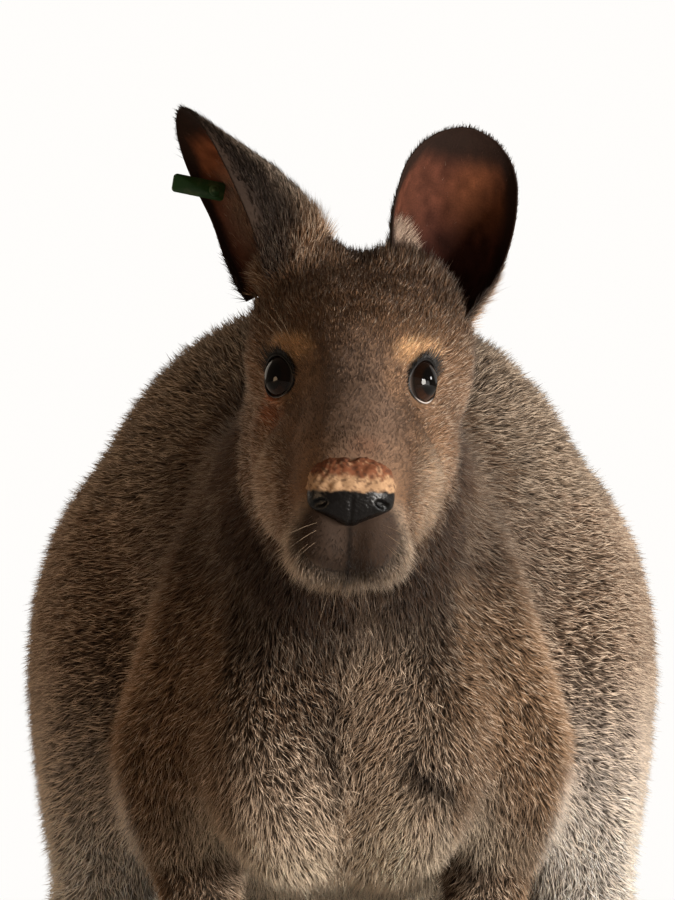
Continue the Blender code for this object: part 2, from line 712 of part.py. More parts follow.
def ear_shell(side, collection):
    """A cupped blade: an open grid, given its thickness by Solidify."""
    outer = 1.0 if side == "left" else -1.0
    rows = []
    for before, after in zip(EAR_BLADE, EAR_BLADE[1:]):
        for count in range(EAR_ROWS):
            share = count / EAR_ROWS
            rows.append([a + (b - a) * share for a, b in zip(before, after)])
    rows.append(EAR_BLADE[-1])
    form = bmesh.new()
    lines = []
    for height, chord, depth, sweep in rows:
        half = math.radians(sweep)
        widest = math.sin(min(half, math.pi / 2))
        line = []
        for column in range(EAR_COLUMNS + 1):
            angle = half * (2.0 * column / EAR_COLUMNS - 1.0)
            across = chord / 2 * math.sin(angle) / widest
            back = depth * (math.cos(angle) - math.cos(half)) / (1.0 - math.cos(half))
            sweep_back = EAR_SWEEP_BACK * height * height
            outer_share = max(0.0, outer * (2.0 * column / EAR_COLUMNS - 1.0))
            lobe = EAR_LOBE * outer_share * outer_share * lobe_share(height)
            line.append(form.verts.new((across, back + sweep_back - lobe, height * EAR_LENGTH)))
        lines.append(line)
    for low, high in zip(lines, lines[1:]):
        for column in range(EAR_COLUMNS):
            form.faces.new((low[column], low[column + 1], high[column + 1], high[column]))
    made = to_object(f"ear_{side}", form, collection)
    wall = made.modifiers.new("wall", "SOLIDIFY")
    wall.thickness = EAR_THICKNESS
    wall.offset = 0.0
    applied(made)
    made.data.transform(ear_turn(side))
    return made


def swollen(source, collection):
    """A copy pushed out along its normals by the gap, used as a cutter."""
    made = bpy.data.objects.new(f"{source.name}_swollen", source.data.copy())
    collection.objects.link(guide(made))
    push = made.modifiers.new("push", "DISPLACE")
    push.strength = GAP
    push.mid_level = 0.0
    return applied(made)


def eyeball(side, mirror, grow, name, collection):
    """An eyeball in the head's carriage, or its socket when grown."""
    centre = head_carriage() @ Vector((mirror * EYE_SPREAD, EYE_SINK, 0.0))
    radius = EYE_RADIUS + grow
    return ball(name, centre, (radius, radius, radius), collection, segments=14, rings=8)


def nose_pad(grow, name, collection):
    """The bare pad at the muzzle's end, or the bed it lies in when grown."""
    radii = NOSE_RADII + Vector((grow, grow, grow))
    made = ball(name, NOSE_CENTRE, radii, collection, segments=13, rings=8)
    made.data.transform(head_carriage())
    return made


def claw_stations(tip, behind, claw):
    """A claw that curves down from inside a digit's tip, in line with a point behind the tip."""
    length, radius, root = claw
    heading = (tip - behind).normalized()
    heading.z = 0.0
    stations = []
    for share, size in CLAW_PROFILE:
        reach = -root + share * (length + root)
        drop = -CLAW_DROP * length * share * share
        place = tip + heading * reach + Vector((0.0, 0.0, drop))
        wide = radius * size
        stations.append(Station(*place, wide * CLAW_THIN, wide, wide))
    return stations


def claw_plan():
    """Every claw of the left side: the part it grows from, its name and its stations."""
    plan = []
    for index in range(FINGER_COUNT):
        finger = finger_stations(index)
        tip = Vector(finger[-1][:3]) + CLAW_LIFT
        behind = Vector(finger[0][:3]) + CLAW_LIFT
        plan.append(("hand", f"hand_claw_{index + 1}", claw_stations(tip, behind, HAND_CLAW)))
    for name, toe, claw in TOE_CLAWS:
        tip = Vector(toe[-1][:3])
        behind = Vector(toe[0][:3])
        plan.append(("foot", name, claw_stations(tip, behind, claw)))
    return plan


def tag_pin(name, radius, depth, offset, collection):
    """A round pin across the tag, its middle at an offset from the plate's middle."""
    form = bmesh.new()
    bmesh.ops.create_cone(
        form,
        cap_ends=True,
        segments=PIN_SIDES,
        radius1=radius,
        radius2=radius,
        depth=depth,
    )
    turn = Matrix.Rotation(math.pi / 2, 4, "Y")
    place = Matrix.Translation((offset, TAG_SIZE.y / 2 - STUD_SETBACK, 0.0))
    bmesh.ops.transform(form, matrix=place @ turn, verts=form.verts)
    return guide(to_object(name, form, collection))


def ear_tag(grow, name, collection, guides):
    """A flat plastic tag inside the right ear's rim, with its pin and back button.

    Grown by the gap, it is the cutter that makes the pin's hole in the ear.
    """
    form = bmesh.new()
    bmesh.ops.create_cube(form, size=1.0)
    size = TAG_SIZE + Vector((grow, grow, grow)) * 2.0
    bmesh.ops.scale(form, vec=size, verts=form.verts)
    plate = to_object(name, form, collection)
    bevel = plate.modifiers.new("rounded", "BEVEL")
    bevel.width = TAG_BEVEL
    bevel.segments = 1
    applied(plate)
    stud = tag_pin(f"{name}_stud", STUD_RADIUS + grow, STUD_LENGTH + 2 * grow, -STUD_LENGTH / 2, guides)
    combined(plate, stud, "UNION")
    button_depth = BUTTON_THICKNESS + 2 * grow
    button = tag_pin(f"{name}_button", BUTTON_RADIUS + grow, button_depth, -STUD_LENGTH, guides)
    combined(plate, button, "UNION")
    place = Vector((-TAG_INSET, TAG_SIZE.y / 2 - TAG_REACH - TAG_OVERLAP, TAG_HEIGHT))
    own = Matrix.Translation(place) @ Matrix.Rotation(-TAG_TILT, 4, "X")
    plate.data.transform(ear_turn("right") @ own)
    return plate


def cut_parts(parts, guides):
    """Fuses the soft body and parts it: the body's nodes by their names."""
    whole = guide(fused("whole", body_forms(guides), guides))
    floor = block("floor", (-FAR, -FAR, -FAR), (FAR, FAR, FLOOR_CUT), Matrix.Identity(4), guides)
    sources = {
        "fine": guide(thinned("fine", whole, FINE_FACES, guides)),
        "coarse": guide(thinned("coarse", whole, COARSE_FACES, guides)),
    }
    made = {}

    def part_off(cut, mirror, source, name, fur):
        """Parts one node off the named source."""
        piece = share_out(sources, cut, mirror, source, name, floor, parts, guides)
        made[name] = finish(piece, fur)

    part_off(HEAD_CUT, 1.0, "fine", "head", FUR_BROWN)
    part_off(NECK_CUT, 1.0, "coarse", "neck", FUR_BROWN)
    for cut in TAIL_CUTS:
        part_off(cut, 1.0, "coarse", cut.name, FUR_GREY)
    for side, mirror in SIDES.items():
        for cut in FINE_LIMB_CUTS:
            part_off(cut, mirror, "fine", f"{cut.name}_{side}", FUR_DARK)
        for cut in COARSE_LIMB_CUTS:
            part_off(cut, mirror, "coarse", f"{cut.name}_{side}", FUR_BROWN)
    for cut in TRUNK_CUTS:
        part_off(cut, 1.0, "coarse", cut.name, FUR_BROWN)
    loin = bpy.data.objects.new("loin", sources["coarse"].data.copy())
    parts.objects.link(loin)
    made["loin"] = finish(largest_body(loin), FUR_BROWN)
    return made


def add_face(made, parts, guides):
    """Adds the ears, the eyes in their sockets and the nose pad in its bed."""
    head = made["head"]
    head_skin = swollen(head, guides)
    nose = nose_pad(0.0, "nose", parts)
    for side, mirror in SIDES.items():
        ear = ear_shell(side, parts)
        combined(ear, head_skin, "DIFFERENCE")
        made[f"ear_{side}"] = finish(largest_body(ear), FUR_DARK)
        socket = guide(eyeball(side, mirror, GAP, f"socket_{side}", guides))
        combined(head, socket, "DIFFERENCE")
        eye = eyeball(side, mirror, 0.0, f"eye_{side}", parts)
        made[f"eye_{side}"] = finish(eye, EYE_GLOSS)
        place = Vector((NOSTRIL_CENTRE.x * mirror, NOSTRIL_CENTRE.y, NOSTRIL_CENTRE.z))
        nostril = guide(ball(f"nostril_{side}", place, NOSTRIL_RADII, guides, segments=8, rings=5))
        nostril.data.transform(head_carriage())
        combined(nose, nostril, "DIFFERENCE")
    made["nose"] = finish(largest_body(nose), NOSE_LEATHER)
    bed = guide(nose_pad(GAP, "nose_bed", guides))
    combined(head, bed, "DIFFERENCE")
    finish(largest_body(head), FUR_BROWN)


def add_claws(made, parts, guides):
    """Adds the claws, each in a pocket of its hand or foot."""
    for side, mirror in SIDES.items():
        for owner, name, stations in claw_plan():
            run = stations if mirror > 0 else mirrored(stations)
            claw = loft(f"{name}_{side}", run, parts, sides=6, steps=1, square=2.0)
            made[claw.name] = finish(claw, CLAW_HORN)
            combined(made[f"{owner}_{side}"], swollen(claw, guides), "DIFFERENCE")
        for owner in ("hand", "foot"):
            finish(largest_body(made[f"{owner}_{side}"]), FUR_DARK)


def add_tag(made, parts, guides):
    """Adds the ear tag and its hole in the right ear."""
    made["ear_tag"] = finish(ear_tag(0.0, "ear_tag", parts, guides), TAG_GREEN, TAG_EDGE)
    hole = guide(ear_tag(GAP, "ear_tag_room", guides, guides))
    combined(made["ear_right"], hole, "DIFFERENCE")
    finish(largest_body(made["ear_right"]), FUR_DARK)


def set_down(pieces):
    """Moves all pieces so that the origin lies under the middle of their box."""
    corners = [corner.co for piece in pieces for corner in piece.data.vertices]
    low = [min(corner[axis] for corner in corners) for axis in range(3)]
    high = [max(corner[axis] for corner in corners) for axis in range(3)]
    shift = Matrix.Translation((-(low[0] + high[0]) / 2, -(low[1] + high[1]) / 2, -low[2]))
    for piece in pieces:
        piece.data.transform(shift)


def main():
    """Builds the wallaby and sets it down on its origin."""
    clear_scene()
    parts = new_collection(COLLECTION_NAME)
    guides = new_collection(GUIDE_NAME)
    made = cut_parts(parts, guides)
    add_face(made, parts, guides)
    add_claws(made, parts, guides)
    add_tag(made, parts, guides)
    set_down(list(made.values()))
    for thing in list(guides.objects):
        bpy.data.objects.remove(thing, do_unlink=True)


main()
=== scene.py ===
import logging
import math
from dataclasses import dataclass, field
from enum import Enum
from typing import Callable, List, Optional, Sequence, Tuple

import bmesh
import bpy
import numpy as np
from mathutils import Matrix, Vector


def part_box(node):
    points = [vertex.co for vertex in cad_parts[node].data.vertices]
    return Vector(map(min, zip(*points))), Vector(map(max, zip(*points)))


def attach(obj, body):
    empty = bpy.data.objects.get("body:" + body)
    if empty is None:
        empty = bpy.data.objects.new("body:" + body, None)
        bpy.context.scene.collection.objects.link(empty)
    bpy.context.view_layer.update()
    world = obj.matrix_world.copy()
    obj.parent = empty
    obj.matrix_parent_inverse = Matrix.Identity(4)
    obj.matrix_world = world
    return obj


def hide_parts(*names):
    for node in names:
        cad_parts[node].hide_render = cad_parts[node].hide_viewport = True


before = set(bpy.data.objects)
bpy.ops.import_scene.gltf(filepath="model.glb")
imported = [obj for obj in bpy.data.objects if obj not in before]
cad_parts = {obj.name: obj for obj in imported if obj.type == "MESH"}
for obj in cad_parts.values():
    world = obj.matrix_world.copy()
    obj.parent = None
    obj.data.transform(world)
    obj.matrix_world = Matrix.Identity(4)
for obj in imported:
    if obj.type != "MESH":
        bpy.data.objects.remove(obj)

Array = np.ndarray
Colour = Tuple[float, float, float]
Place = Tuple[float, float, float]
Span = Tuple[float, float]
Mark = Tuple[Colour, Array]
Mesh = bpy.types.Mesh
Piece = bpy.types.Object
Material = bpy.types.Material
Socket = bpy.types.NodeSocket

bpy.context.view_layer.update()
BODY = "root"
COAT_ATTRIBUTE = "coat"
TIP_ATTRIBUTE = "coat_tip"
ALONG_ATTRIBUTE = "along"
CRUST_ATTRIBUTE = "crust"
BAKE_MAP = "OFBake"
SAME_PLACE = 1e-6

log = logging.getLogger("wallaby")


class Side(Enum):
    """The animal's two sides, with the sign of their x."""

    LEFT = 1
    RIGHT = -1

    @property
    def word(self) -> str:
        """The side's word in the names of nodes and pieces."""
        return self.name.lower()


class Slot(Enum):
    """The record's material slots."""

    BODY_FUR = "body_fur"
    DARK_FUR = "dark_fur"
    NOSE = "nose_leather"
    EYE = "eye_gloss"
    CLAW = "claw_horn"
    TAG = "tag_green"


# ---- small mathematics


def unit(rows: Array) -> Array:
    """Each row divided by its length."""
    lengths = np.linalg.norm(rows, axis=-1, keepdims=True)
    return rows / np.maximum(lengths, 1e-12)


def ramp(value: Array, low: float, high: float) -> Array:
    """A smooth step: 0 below low, 1 above high, 3s^2 - 2s^3 between."""
    share = np.clip((value - low) / (high - low), 0.0, 1.0)
    return share * share * (3.0 - 2.0 * share)


def fall(value: Array, low: float, high: float) -> Array:
    """A smooth step down: 1 below low, 0 above high."""
    return 1.0 - ramp(value, low, high)


def hump(value: Array, width: float) -> Array:
    """A bell round 0: e to the power of minus the square of value over width."""
    return np.exp(-((value / width) ** 2))


def circle(count: int) -> Array:
    """Angles in even steps round a circle."""
    return np.arange(count) * 2.0 * math.pi / count


def mirrored(points: Array) -> Array:
    """Places with those of negative x moved over to the other side."""
    return np.column_stack([np.abs(points[:, 0]), points[:, 1:]])


def moved(points: Array, matrix: Matrix) -> Array:
    """Places taken through a matrix."""
    rows = np.array(matrix)
    return points @ rows[:3, :3].T + rows[:3, 3]


def spot(points: Array, centre: Sequence[float], radii: Sequence[float], edge: float = 0.45) -> Array:
    """How far points lie inside an ellipsoid: 1 in its middle, 0 past its border.

    Args:
        points: the places.
        centre: its middle.
        radii: its radii.
        edge: the share of the radius over which it fades on either side of the border.

    Returns:
        One share for each point.
    """
    reach = np.linalg.norm((points - np.asarray(centre)) / np.asarray(radii), axis=-1)
    return 1.0 - ramp(reach, 1.0 - edge, 1.0 + edge)


def blend(first: Array, second: Sequence[float], share: Array) -> Array:
    """Rows of first moved towards second by a share given for each row."""
    weight = share[:, None]
    return first * (1.0 - weight) + np.asarray(second) * weight


def waves(points: Array, scale: float, seed: int, octaves: int = 3) -> Array:
    """Smooth cloudy values between -1 and 1.

    Each octave adds the product of three sines along axes turned at random, at twice the
    frequency and half the strength of the one before.

    Args:
        points: the places.
        scale: the size of the largest clouds, in metres.
        seed: picks the axes and phases.
        octaves: how many sizes are added up.

    Returns:
        One value for each point.
    """
    random = np.random.default_rng(seed)
    total = np.zeros(len(points))
    strengths = 0.5 ** np.arange(octaves)
    for octave, strength in enumerate(strengths):
        axes, _ = np.linalg.qr(random.normal(size=(3, 3)))
        phases = random.uniform(0.0, 2.0 * math.pi, 3)
        turned = points @ axes * (2.0 * math.pi * 2**octave / scale) + phases
        bend = np.sin(turned[:, [1, 2, 0]] * 0.7 + phases)
        total += strength * np.sin(turned + 1.3 * bend).prod(axis=1) * 1.7
    return np.clip(total / strengths.sum(), -1.0, 1.0)


def srgb(red: int, green: int, blue: int) -> Colour:
    """A display colour out of 255 as the linear colour that shaders take."""
    values = np.array((red, green, blue)) / 255.0
    linear = np.where(values <= 0.04045, values / 12.92, ((values + 0.055) / 1.055) ** 2.4)
    return tuple(float(value) for value in linear)


# ---- meshes


def read_rows(items: bpy.types.bpy_prop_collection, name: str, width: int, kind: type = float) -> Array:
    """One property of all of a mesh's items, a row for each."""
    flat = np.empty(len(items) * width, kind)
    items.foreach_get(name, flat)
    return flat.reshape(-1, width)


def read_points(mesh: Mesh) -> Array:
    """A mesh's vertex places, one per row."""
    return read_rows(mesh.vertices, "co", 3)


def read_normals(mesh: Mesh) -> Array:
    """A mesh's vertex normals, one per row."""
    return read_rows(mesh.vertex_normals, "vector", 3)


def read_triangles(mesh: Mesh) -> Array:
    """The vertices of a mesh's triangles, three per row."""
    mesh.calc_loop_triangles()
    return read_rows(mesh.loop_triangles, "vertices", 3, np.int64)


def write_points(mesh: Mesh, points: Array) -> None:
    """Puts vertex places into a mesh."""
    mesh.vertices.foreach_set("co", np.ascontiguousarray(points, np.float32).ravel())
    mesh.update()


def write_colours(mesh: Mesh, colours: Array, name: str = COAT_ATTRIBUTE) -> None:
    """Stores a linear colour for each vertex.

    Args:
        mesh: The mesh that gets the colours.
        colours: One linear RGB colour for each vertex.
        name: The name of the attribute.
    """
    layer = mesh.color_attributes.new(name, "FLOAT_COLOR", "POINT")
    full = np.ones((len(colours), 4), np.float32)
    full[:, :3] = colours
    layer.data.foreach_set("color", full.ravel())


def write_values(mesh: Mesh, values: Array, name: str) -> None:
    """Stores one number for each vertex."""
    layer = mesh.attributes.new(name, "FLOAT", "POINT")
    layer.data.foreach_set("value", np.ascontiguousarray(values, np.float32))


def new_mesh(name: str, points: Array, faces: Array) -> Mesh:
    """A mesh from whole arrays.

    Args:
        name: its name.
        points: the places.
        faces: one face's corners per row, the same number for all.

    Returns:
        The mesh.
    """
    mesh = bpy.data.meshes.new(name)
    mesh.vertices.add(len(points))
    mesh.vertices.foreach_set("co", np.ascontiguousarray(points, np.float32).ravel())
    mesh.loops.add(faces.size)
    mesh.loops.foreach_set("vertex_index", faces.astype(np.int32).ravel())
    mesh.polygons.add(len(faces))
    mesh.polygons.foreach_set("loop_start", np.arange(0, faces.size, faces.shape[1], dtype=np.int32))
    mesh.update(calc_edges=True)
    mesh.validate()
    return mesh


def linked(name: str, data: bpy.types.ID) -> Piece:
    """A new object in the scene, at the origin."""
    thing = bpy.data.objects.new(name, data)
    bpy.context.scene.collection.objects.link(thing)
    return thing


def new_piece(name: str, mesh: Mesh, smooth: bool = True) -> Piece:
    """An object at the origin that rides on the body.

    Args:
        name: its name.
        mesh: its shape.
        smooth: whether it is shaded smooth.

    Returns:
        The object.
    """
    piece = linked(name, mesh)
    if smooth:
        mesh.shade_smooth()
    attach(piece, BODY)
    return piece


def solid(name: str, points: Array, faces: Array, smooth: bool = True) -> Piece:
    """A piece from a closed surface's arrays, its faces turned out; the values are new_piece's."""
    mesh = new_mesh(name, points, faces)
    outward(mesh)
    return new_piece(name, mesh, smooth)


def outward(mesh: Mesh) -> None:
    """Turns all faces of a closed mesh to point out.

    Args:
        mesh: The closed mesh, changed in place.
    """
    form = bmesh.new()
    form.from_mesh(mesh)
    bmesh.ops.recalc_face_normals(form, faces=form.faces)
    form.to_mesh(mesh)
    form.free()


def welded(node: str, name: str) -> Mesh:
    """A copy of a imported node's mesh whose triangles share their corners.

    Args:
        node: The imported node.
        name: The name of the new mesh.

    Returns:
        The new mesh.
    """
    form = bmesh.new()
    form.from_mesh(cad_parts[node].data)
    bmesh.ops.remove_doubles(form, verts=form.verts, dist=SAME_PLACE)
    mesh = bpy.data.meshes.new(name)
    form.to_mesh(mesh)
    form.free()
    return mesh


def grid_faces(rows: int, columns: int) -> Array:
    """The quads of rows of points, the last column joined to the first, four numbers for each.

    Args:
        rows: How many rows there are.
        columns: How many points a row has.

    Returns:
        The corners of each quad, as numbers of points.
    """
    row = np.arange(rows - 1)[:, None]
    column = np.arange(columns)[None, :]
    beside = (column + 1) % columns
    first = row * columns + column
    quads = (first, row * columns + beside, (row + 1) * columns + beside, first + columns)
    return np.stack(np.broadcast_arrays(*quads), axis=-1).reshape(-1, 4)


def tube(rings: Array) -> Tuple[Array, Array]:
    """A closed tube through rings of points, each end closed by a fan round its middle.

    Args:
        rings: places, shaped rings by sides by 3.

    Returns:
        The places, and the triangles that join them.
    """
    count, sides, _ = rings.shape
    points = np.concatenate([rings.reshape(-1, 3), rings[0].mean(0)[None], rings[-1].mean(0)[None]])
    quads = grid_faces(count, sides)
    side = np.arange(sides)
    beside = (side + 1) % sides
    first_cap = np.stack([np.full(sides, count * sides), beside, side], axis=1)
    last = (count - 1) * sides
    last_cap = np.stack([np.full(sides, count * sides + 1), last + side, last + beside], axis=1)
    return points, np.concatenate([quads[:, [0, 1, 2]], quads[:, [0, 2, 3]], first_cap, last_cap])


def ribbon(rings: Array) -> Tuple[Array, Array]:
    """The places and quads of a ring-shaped solid through rings of points, the last joined to the first."""
    count, sides, _ = rings.shape
    return rings.reshape(-1, 3), grid_faces(count + 1, sides) % (count * sides)


def apply_modifiers(piece: Piece) -> None:
    """Replaces a piece's mesh with what its modifiers make of it.

    Args:
        piece: The piece, changed in place.
    """
    graph = bpy.context.evaluated_depsgraph_get()
    mesh = bpy.data.meshes.new_from_object(piece.evaluated_get(graph))
    piece.modifiers.clear()
    old = piece.data
    piece.data = mesh
    bpy.data.meshes.remove(old)


def smoothed(values: Array, mesh: Mesh, passes: int, pull: float, free: Optional[Array] = None) -> Array:
    """Values evened out over a mesh: each pass moves a vertex's towards its neighbours' mean.

    Args:
        values: one row for each vertex.
        mesh: the mesh.
        passes: how many passes are made.
        pull: the share of the way that a pass moves them.
        free: the share in which each vertex takes part, or None where all do fully.

    Returns:
        The evened rows.
    """
    edges = read_rows(mesh.edges, "vertices", 2, np.int64)
    start = np.concatenate([edges[:, 0], edges[:, 1]])
    end = np.concatenate([edges[:, 1], edges[:, 0]])
    count = len(values)
    degree = np.maximum(np.bincount(start, minlength=count), 1)[:, None]
    step = pull if free is None else pull * free[:, None]
    flat = values
    for _ in range(passes):
        sums = [np.bincount(start, flat[end, column], count) for column in range(flat.shape[1])]
        flat = flat + step * (np.stack(sums, axis=1) / degree - flat)
    return flat


# ---- the head's frame and the regions


@dataclass(frozen=True)
class HeadFrame:
    """The head's own frame: x to its left, y back and z up, from the point between the eyes."""

    origin: Array
    roll: float = math.radians(2.0)
    yaw: float = math.radians(1.2)
    eye_spread: float = 0.0236
    eye_sink: float = 0.001
    eye_radius: float = 0.0118

    @classmethod
    def from_cad(cls) -> "HeadFrame":
        """Places the frame half-way between the middles of the two eyeballs."""
        corners = [np.array(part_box(f"eye_{side.word}")) for side in Side]
        return cls(origin=(corners[0].sum(axis=0) / 2.0 + corners[1].sum(axis=0) / 2.0) / 2.0)

    @property
    def matrix(self) -> Matrix:
        """The turn and place of the frame in the world."""
        turn = Matrix.Rotation(self.roll, 4, "Y") @ Matrix.Rotation(self.yaw, 4, "Z")
        sink = Matrix.Translation((0.0, -self.eye_sink, 0.0))
        return Matrix.Translation(Vector(self.origin)) @ turn @ sink

    def to_world(self, points: Array) -> Array:
        """Places in the head's frame, as places in the world."""
        return moved(points, self.matrix)

    def to_head(self, points: Array) -> Array:
        """Places in the world, as places in the head's frame."""
        return moved(points, self.matrix.inverted())

    def turn(self, directions: Array) -> Array:
        """Directions in the head's frame, as directions in the world."""
        return directions @ np.array(self.matrix)[:3, :3].T

    def eye_middle(self, side: Side) -> Array:
        """An eyeball's middle, in the head's frame."""
        return np.array((side.value * self.eye_spread, self.eye_sink, 0.0))

    def from_eye(self, inside: Array, side: Side) -> Array:
        """How far places in the head's frame are from an eyeball's middle."""
        return np.linalg.norm(inside - self.eye_middle(side), axis=1)


HEAD = HeadFrame.from_cad()


def both(stem: str) -> Tuple[str, str]:
    """The names of a node on the two sides."""
    return f"{stem}_left", f"{stem}_right"


class Part(Enum):
    """Where the coat changes, as (nodes, base colour, measures, lie).

    The measures are the depth of the coat, a hair's length and width, the space between hairs,
    the angle in degrees at which they stand off, and how unruly they lie. The lie is a direction:
    x away from the midline, x, y and z, and the share by which z falls on the flanks.
    """

    HEAD = ("head",), "crown", (0.0026, 0.0062, 0.00047, 0.00084, 24.0, 0.36), (0, 0, 0, 0, 0)
    NECK = ("neck",), "neck", (0.0058, 0.0082, 0.00058, 0.0011, 42.0, 0.7), (-0.15, 0, 0.75, -0.25, 0.75)
    CHEST = ("chest",), "shoulder", (0.0062, 0.009, 0.00062, 0.00113, 40.0, 0.66), (-0.5, 0, 0.75, -0.25, 1)
    LOIN = ("loin",), "back", (0.006, 0.008, 0.00068, 0.00148, 44.0, 0.8), (0.1, 0, 0.85, -0.1, 0.75)
    RUMP = (
        ("rump", "tail_base"), "back",
        (0.006, 0.0098, 0.00094, 0.00208, 36.0, 0.5), (0.05, 0, 0.85, -0.35, 0.4),
    )
    TAIL = (
        ("tail_middle", "tail_tip"), "tail",
        (0.0036, 0.01, 0.0009, 0.0018, 18.0, 0.26), (0, 0.05, 1, -0.05, 0),
    )
    ARM = both("upper_arm"), "shoulder", (0.0058, 0.008, 0.00058, 0.00112, 42.0, 0.7), (-0.05, 0, 0.25, -1, 0)
    FOREARM = both("forearm"), "limb", (0.0034, 0.008, 0.00066, 0.0014, 26.0, 0.34), (-0.1, 0, -0.4, -0.9, 0)
    HAND = both("hand"), "paw", (0.0012, 0.005, 0.00058, 0.0012, 16.0, 0.18), (0, 0, -1, -0.3, 0)
    THIGH = both("thigh"), "flank", (0.0066, 0.008, 0.00066, 0.00144, 46.0, 0.85), (0.05, 0, 0.45, -0.85, 0)
    SHANK = both("shank"), "haunch", (0.004, 0.009, 0.0008, 0.00174, 24.0, 0.34), (0, 0, 0.55, -0.8, 0)
    FOOT = both("foot"), "paw", (0.0014, 0.0065, 0.00072, 0.0015, 14.0, 0.14), (0, 0, -1, -0.25, 0)
    EAR = both("ear"), "ear_back", (0.0008, 0.005, 0.00042, 0.0008, 20.0, 0.22), (0, 0, 0, 1, 0)

    def __init__(self, nodes: Sequence[str], base: str, measures: Sequence[float], lie: Sequence) -> None:
        """Keeps the part's values by name, the angle in radians."""
        self.nodes, self.base, self.lie = nodes, base, lie
        self.measures = (*measures[:4], math.radians(measures[4]), measures[5])

    @property
    def number(self) -> int:
        """The part's number in the fields."""
        return PARTS.index(self)


PARTS = list(Part)
FUSED_PARTS = [part for part in PARTS if part is not Part.EAR]
FLESH_NODES = [node for part in PARTS for node in part.nodes]


@dataclass
class Fields:
    """What the coat and the markings need to know at each place of a surface.

    Each place has a normal, the direction in which its hair lies, its part's number, the part's
    measures, and on an ear its height, place across and wall.
    """

    points: Array
    normals: Array
    flow: Array
    part: Array
    depth: Array
    length: Array
    width: Array
    spacing: Array
    lift: Array
    unruly: Array
    local: Array

    def changed(self, change: Callable[[str], Array]) -> "Fields":
        """Fields made from these ones, each by its name."""
        return Fields(*(change(name) for name in Fields.__dataclass_fields__))

    def take(self, weights: Array, corners: Array) -> "Fields":
        """The fields at places inside triangles.

        Args:
            weights: the shares of a triangle's three corners at each place.
            corners: the three corners' numbers at each place.

        Returns:
            The corners' values mixed by weight, and the first one's part.
        """

        def mix(name: str) -> Array:
            """Mixes one field.

            Args:
                name: The name of the field.

            Returns:
                Its values at the new points.
            """
            picked = getattr(self, name)[corners]
            if name == "part":
                return picked[:, 0]
            return (picked * weights.reshape(weights.shape + (1,) * (picked.ndim - 2))).sum(axis=1)

        mixed = self.changed(mix)
        mixed.normals = unit(mixed.normals)
        mixed.flow = unit(mixed.flow)
        return mixed

    def chosen(self, keep: Array) -> "Fields":
        """The fields at some of the places."""
        return self.changed(lambda name: getattr(self, name)[keep])

    def joined(self, other: "Fields") -> "Fields":
        """These fields with another surface's behind them."""
        return self.changed(lambda name: np.concatenate([getattr(self, name), getattr(other, name)]))

    def on(self, *parts: Part) -> Array:
        """Which places are on some parts."""
        return np.isin(self.part, [part.number for part in parts])

    def settle(self, mesh: Mesh) -> None:
        """Takes places and normals anew from a mesh, and lays the hair along them."""
        self.points = read_points(mesh)
        self.normals = read_normals(mesh)
        self.flow = along_surface(self.flow, self.normals)


def lie_of_coat(points: Array, normals: Array, part: Array) -> Array:
    """The direction in which the hair lies on each part, along the surface.

    On the head it runs from the nose back over the crown and cheeks, on the trunk back and down
    the flanks, on the chest in to the midline and down, and on limbs and tail towards their tips.

    Args:
        points: the places.
        normals: the normals there.
        part: the number of each place's part.

    Returns:
        A direction for each place.
    """
    across = np.sign(points[:, 0]) * np.clip(np.abs(points[:, 0]) / 0.02, 0.0, 1.0)
    outward_x, x, y, z, drop = np.array([part.lie for part in PARTS])[part].T
    z = z - drop * np.abs(normals[:, 0]) - 0.8 * (normals[:, 1] < 0) * (part == Part.NECK.number)
    y = y - 0.9 * (-normals[:, 1]).clip(0, 1) * (part == Part.CHEST.number)
    flow = np.stack([outward_x * across + x, y, z], axis=1)
    inside = HEAD.to_head(points)
    from_nose = unit(inside - np.array((0.0, -0.088, -0.06)))
    from_nose[:, 2] += 0.35 * ramp(inside[:, 2], -0.01, 0.02) - 0.45 * ramp(-inside[:, 2], 0.02, 0.05)
    on_head = part == Part.HEAD.number
    flow[on_head] = HEAD.turn(from_nose)[on_head]
    return along_surface(unit(flow), normals)


def along_surface(directions: Array, normals: Array) -> Array:
    """Directions with what points off the surface taken away, made length 1."""
    return unit(directions - (directions * normals).sum(axis=1, keepdims=True) * normals)


def nearest_part(points: Array) -> Array:
    """The number of the part whose solid has the face nearest to each place.

    The squared distance is |a|^2 - 2ab + |b|^2, worked out for a block of places at a time.

    Args:
        points: the places.

    Returns:
        One part's number for each place.
    """
    middles = []
    numbers = []
    for part in FUSED_PARTS:
        for node in part.nodes:
            middles.append(read_rows(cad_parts[node].data.polygons, "center", 3))
            numbers.append(np.full(len(middles[-1]), part.number))
    spots = np.concatenate(middles).astype(np.float32)
    squares = (spots**2).sum(axis=1)
    blocks = np.array_split(points.astype(np.float32), max(1, len(points) // 4000))
    nearest = [(squares - 2.0 * block @ spots.T).argmin(axis=1) for block in blocks]
    return np.concatenate(numbers)[np.concatenate(nearest)]


# ---- ears


def through(places: Array, knots: Sequence[float], values: Sequence[float]) -> Array:
    """A smooth curve through knots, read at given places.

    Between two knots it is the cubic whose slopes there are those of the knots' neighbours.

    Args:
        places: where the curve is read.
        knots: the knots' places, rising.
        values: the curve's value at each knot.

    Returns:
        The value at each place.
    """
    x = np.asarray(knots, float)
    y = np.asarray(values, float)
    slopes = np.gradient(y, x)
    index = np.clip(np.searchsorted(x, places, side="right") - 1, 0, len(x) - 2)
    span = x[index + 1] - x[index]
    share = np.clip((places - x[index]) / span, 0.0, 1.0)
    square = share * share
    cube = square * share
    return (
        (2 * cube - 3 * square + 1) * y[index]
        + (cube - 2 * square + share) * span * slopes[index]
        + (3 * square - 2 * cube) * y[index + 1]
        + (cube - square) * span * slopes[index + 1]
    )


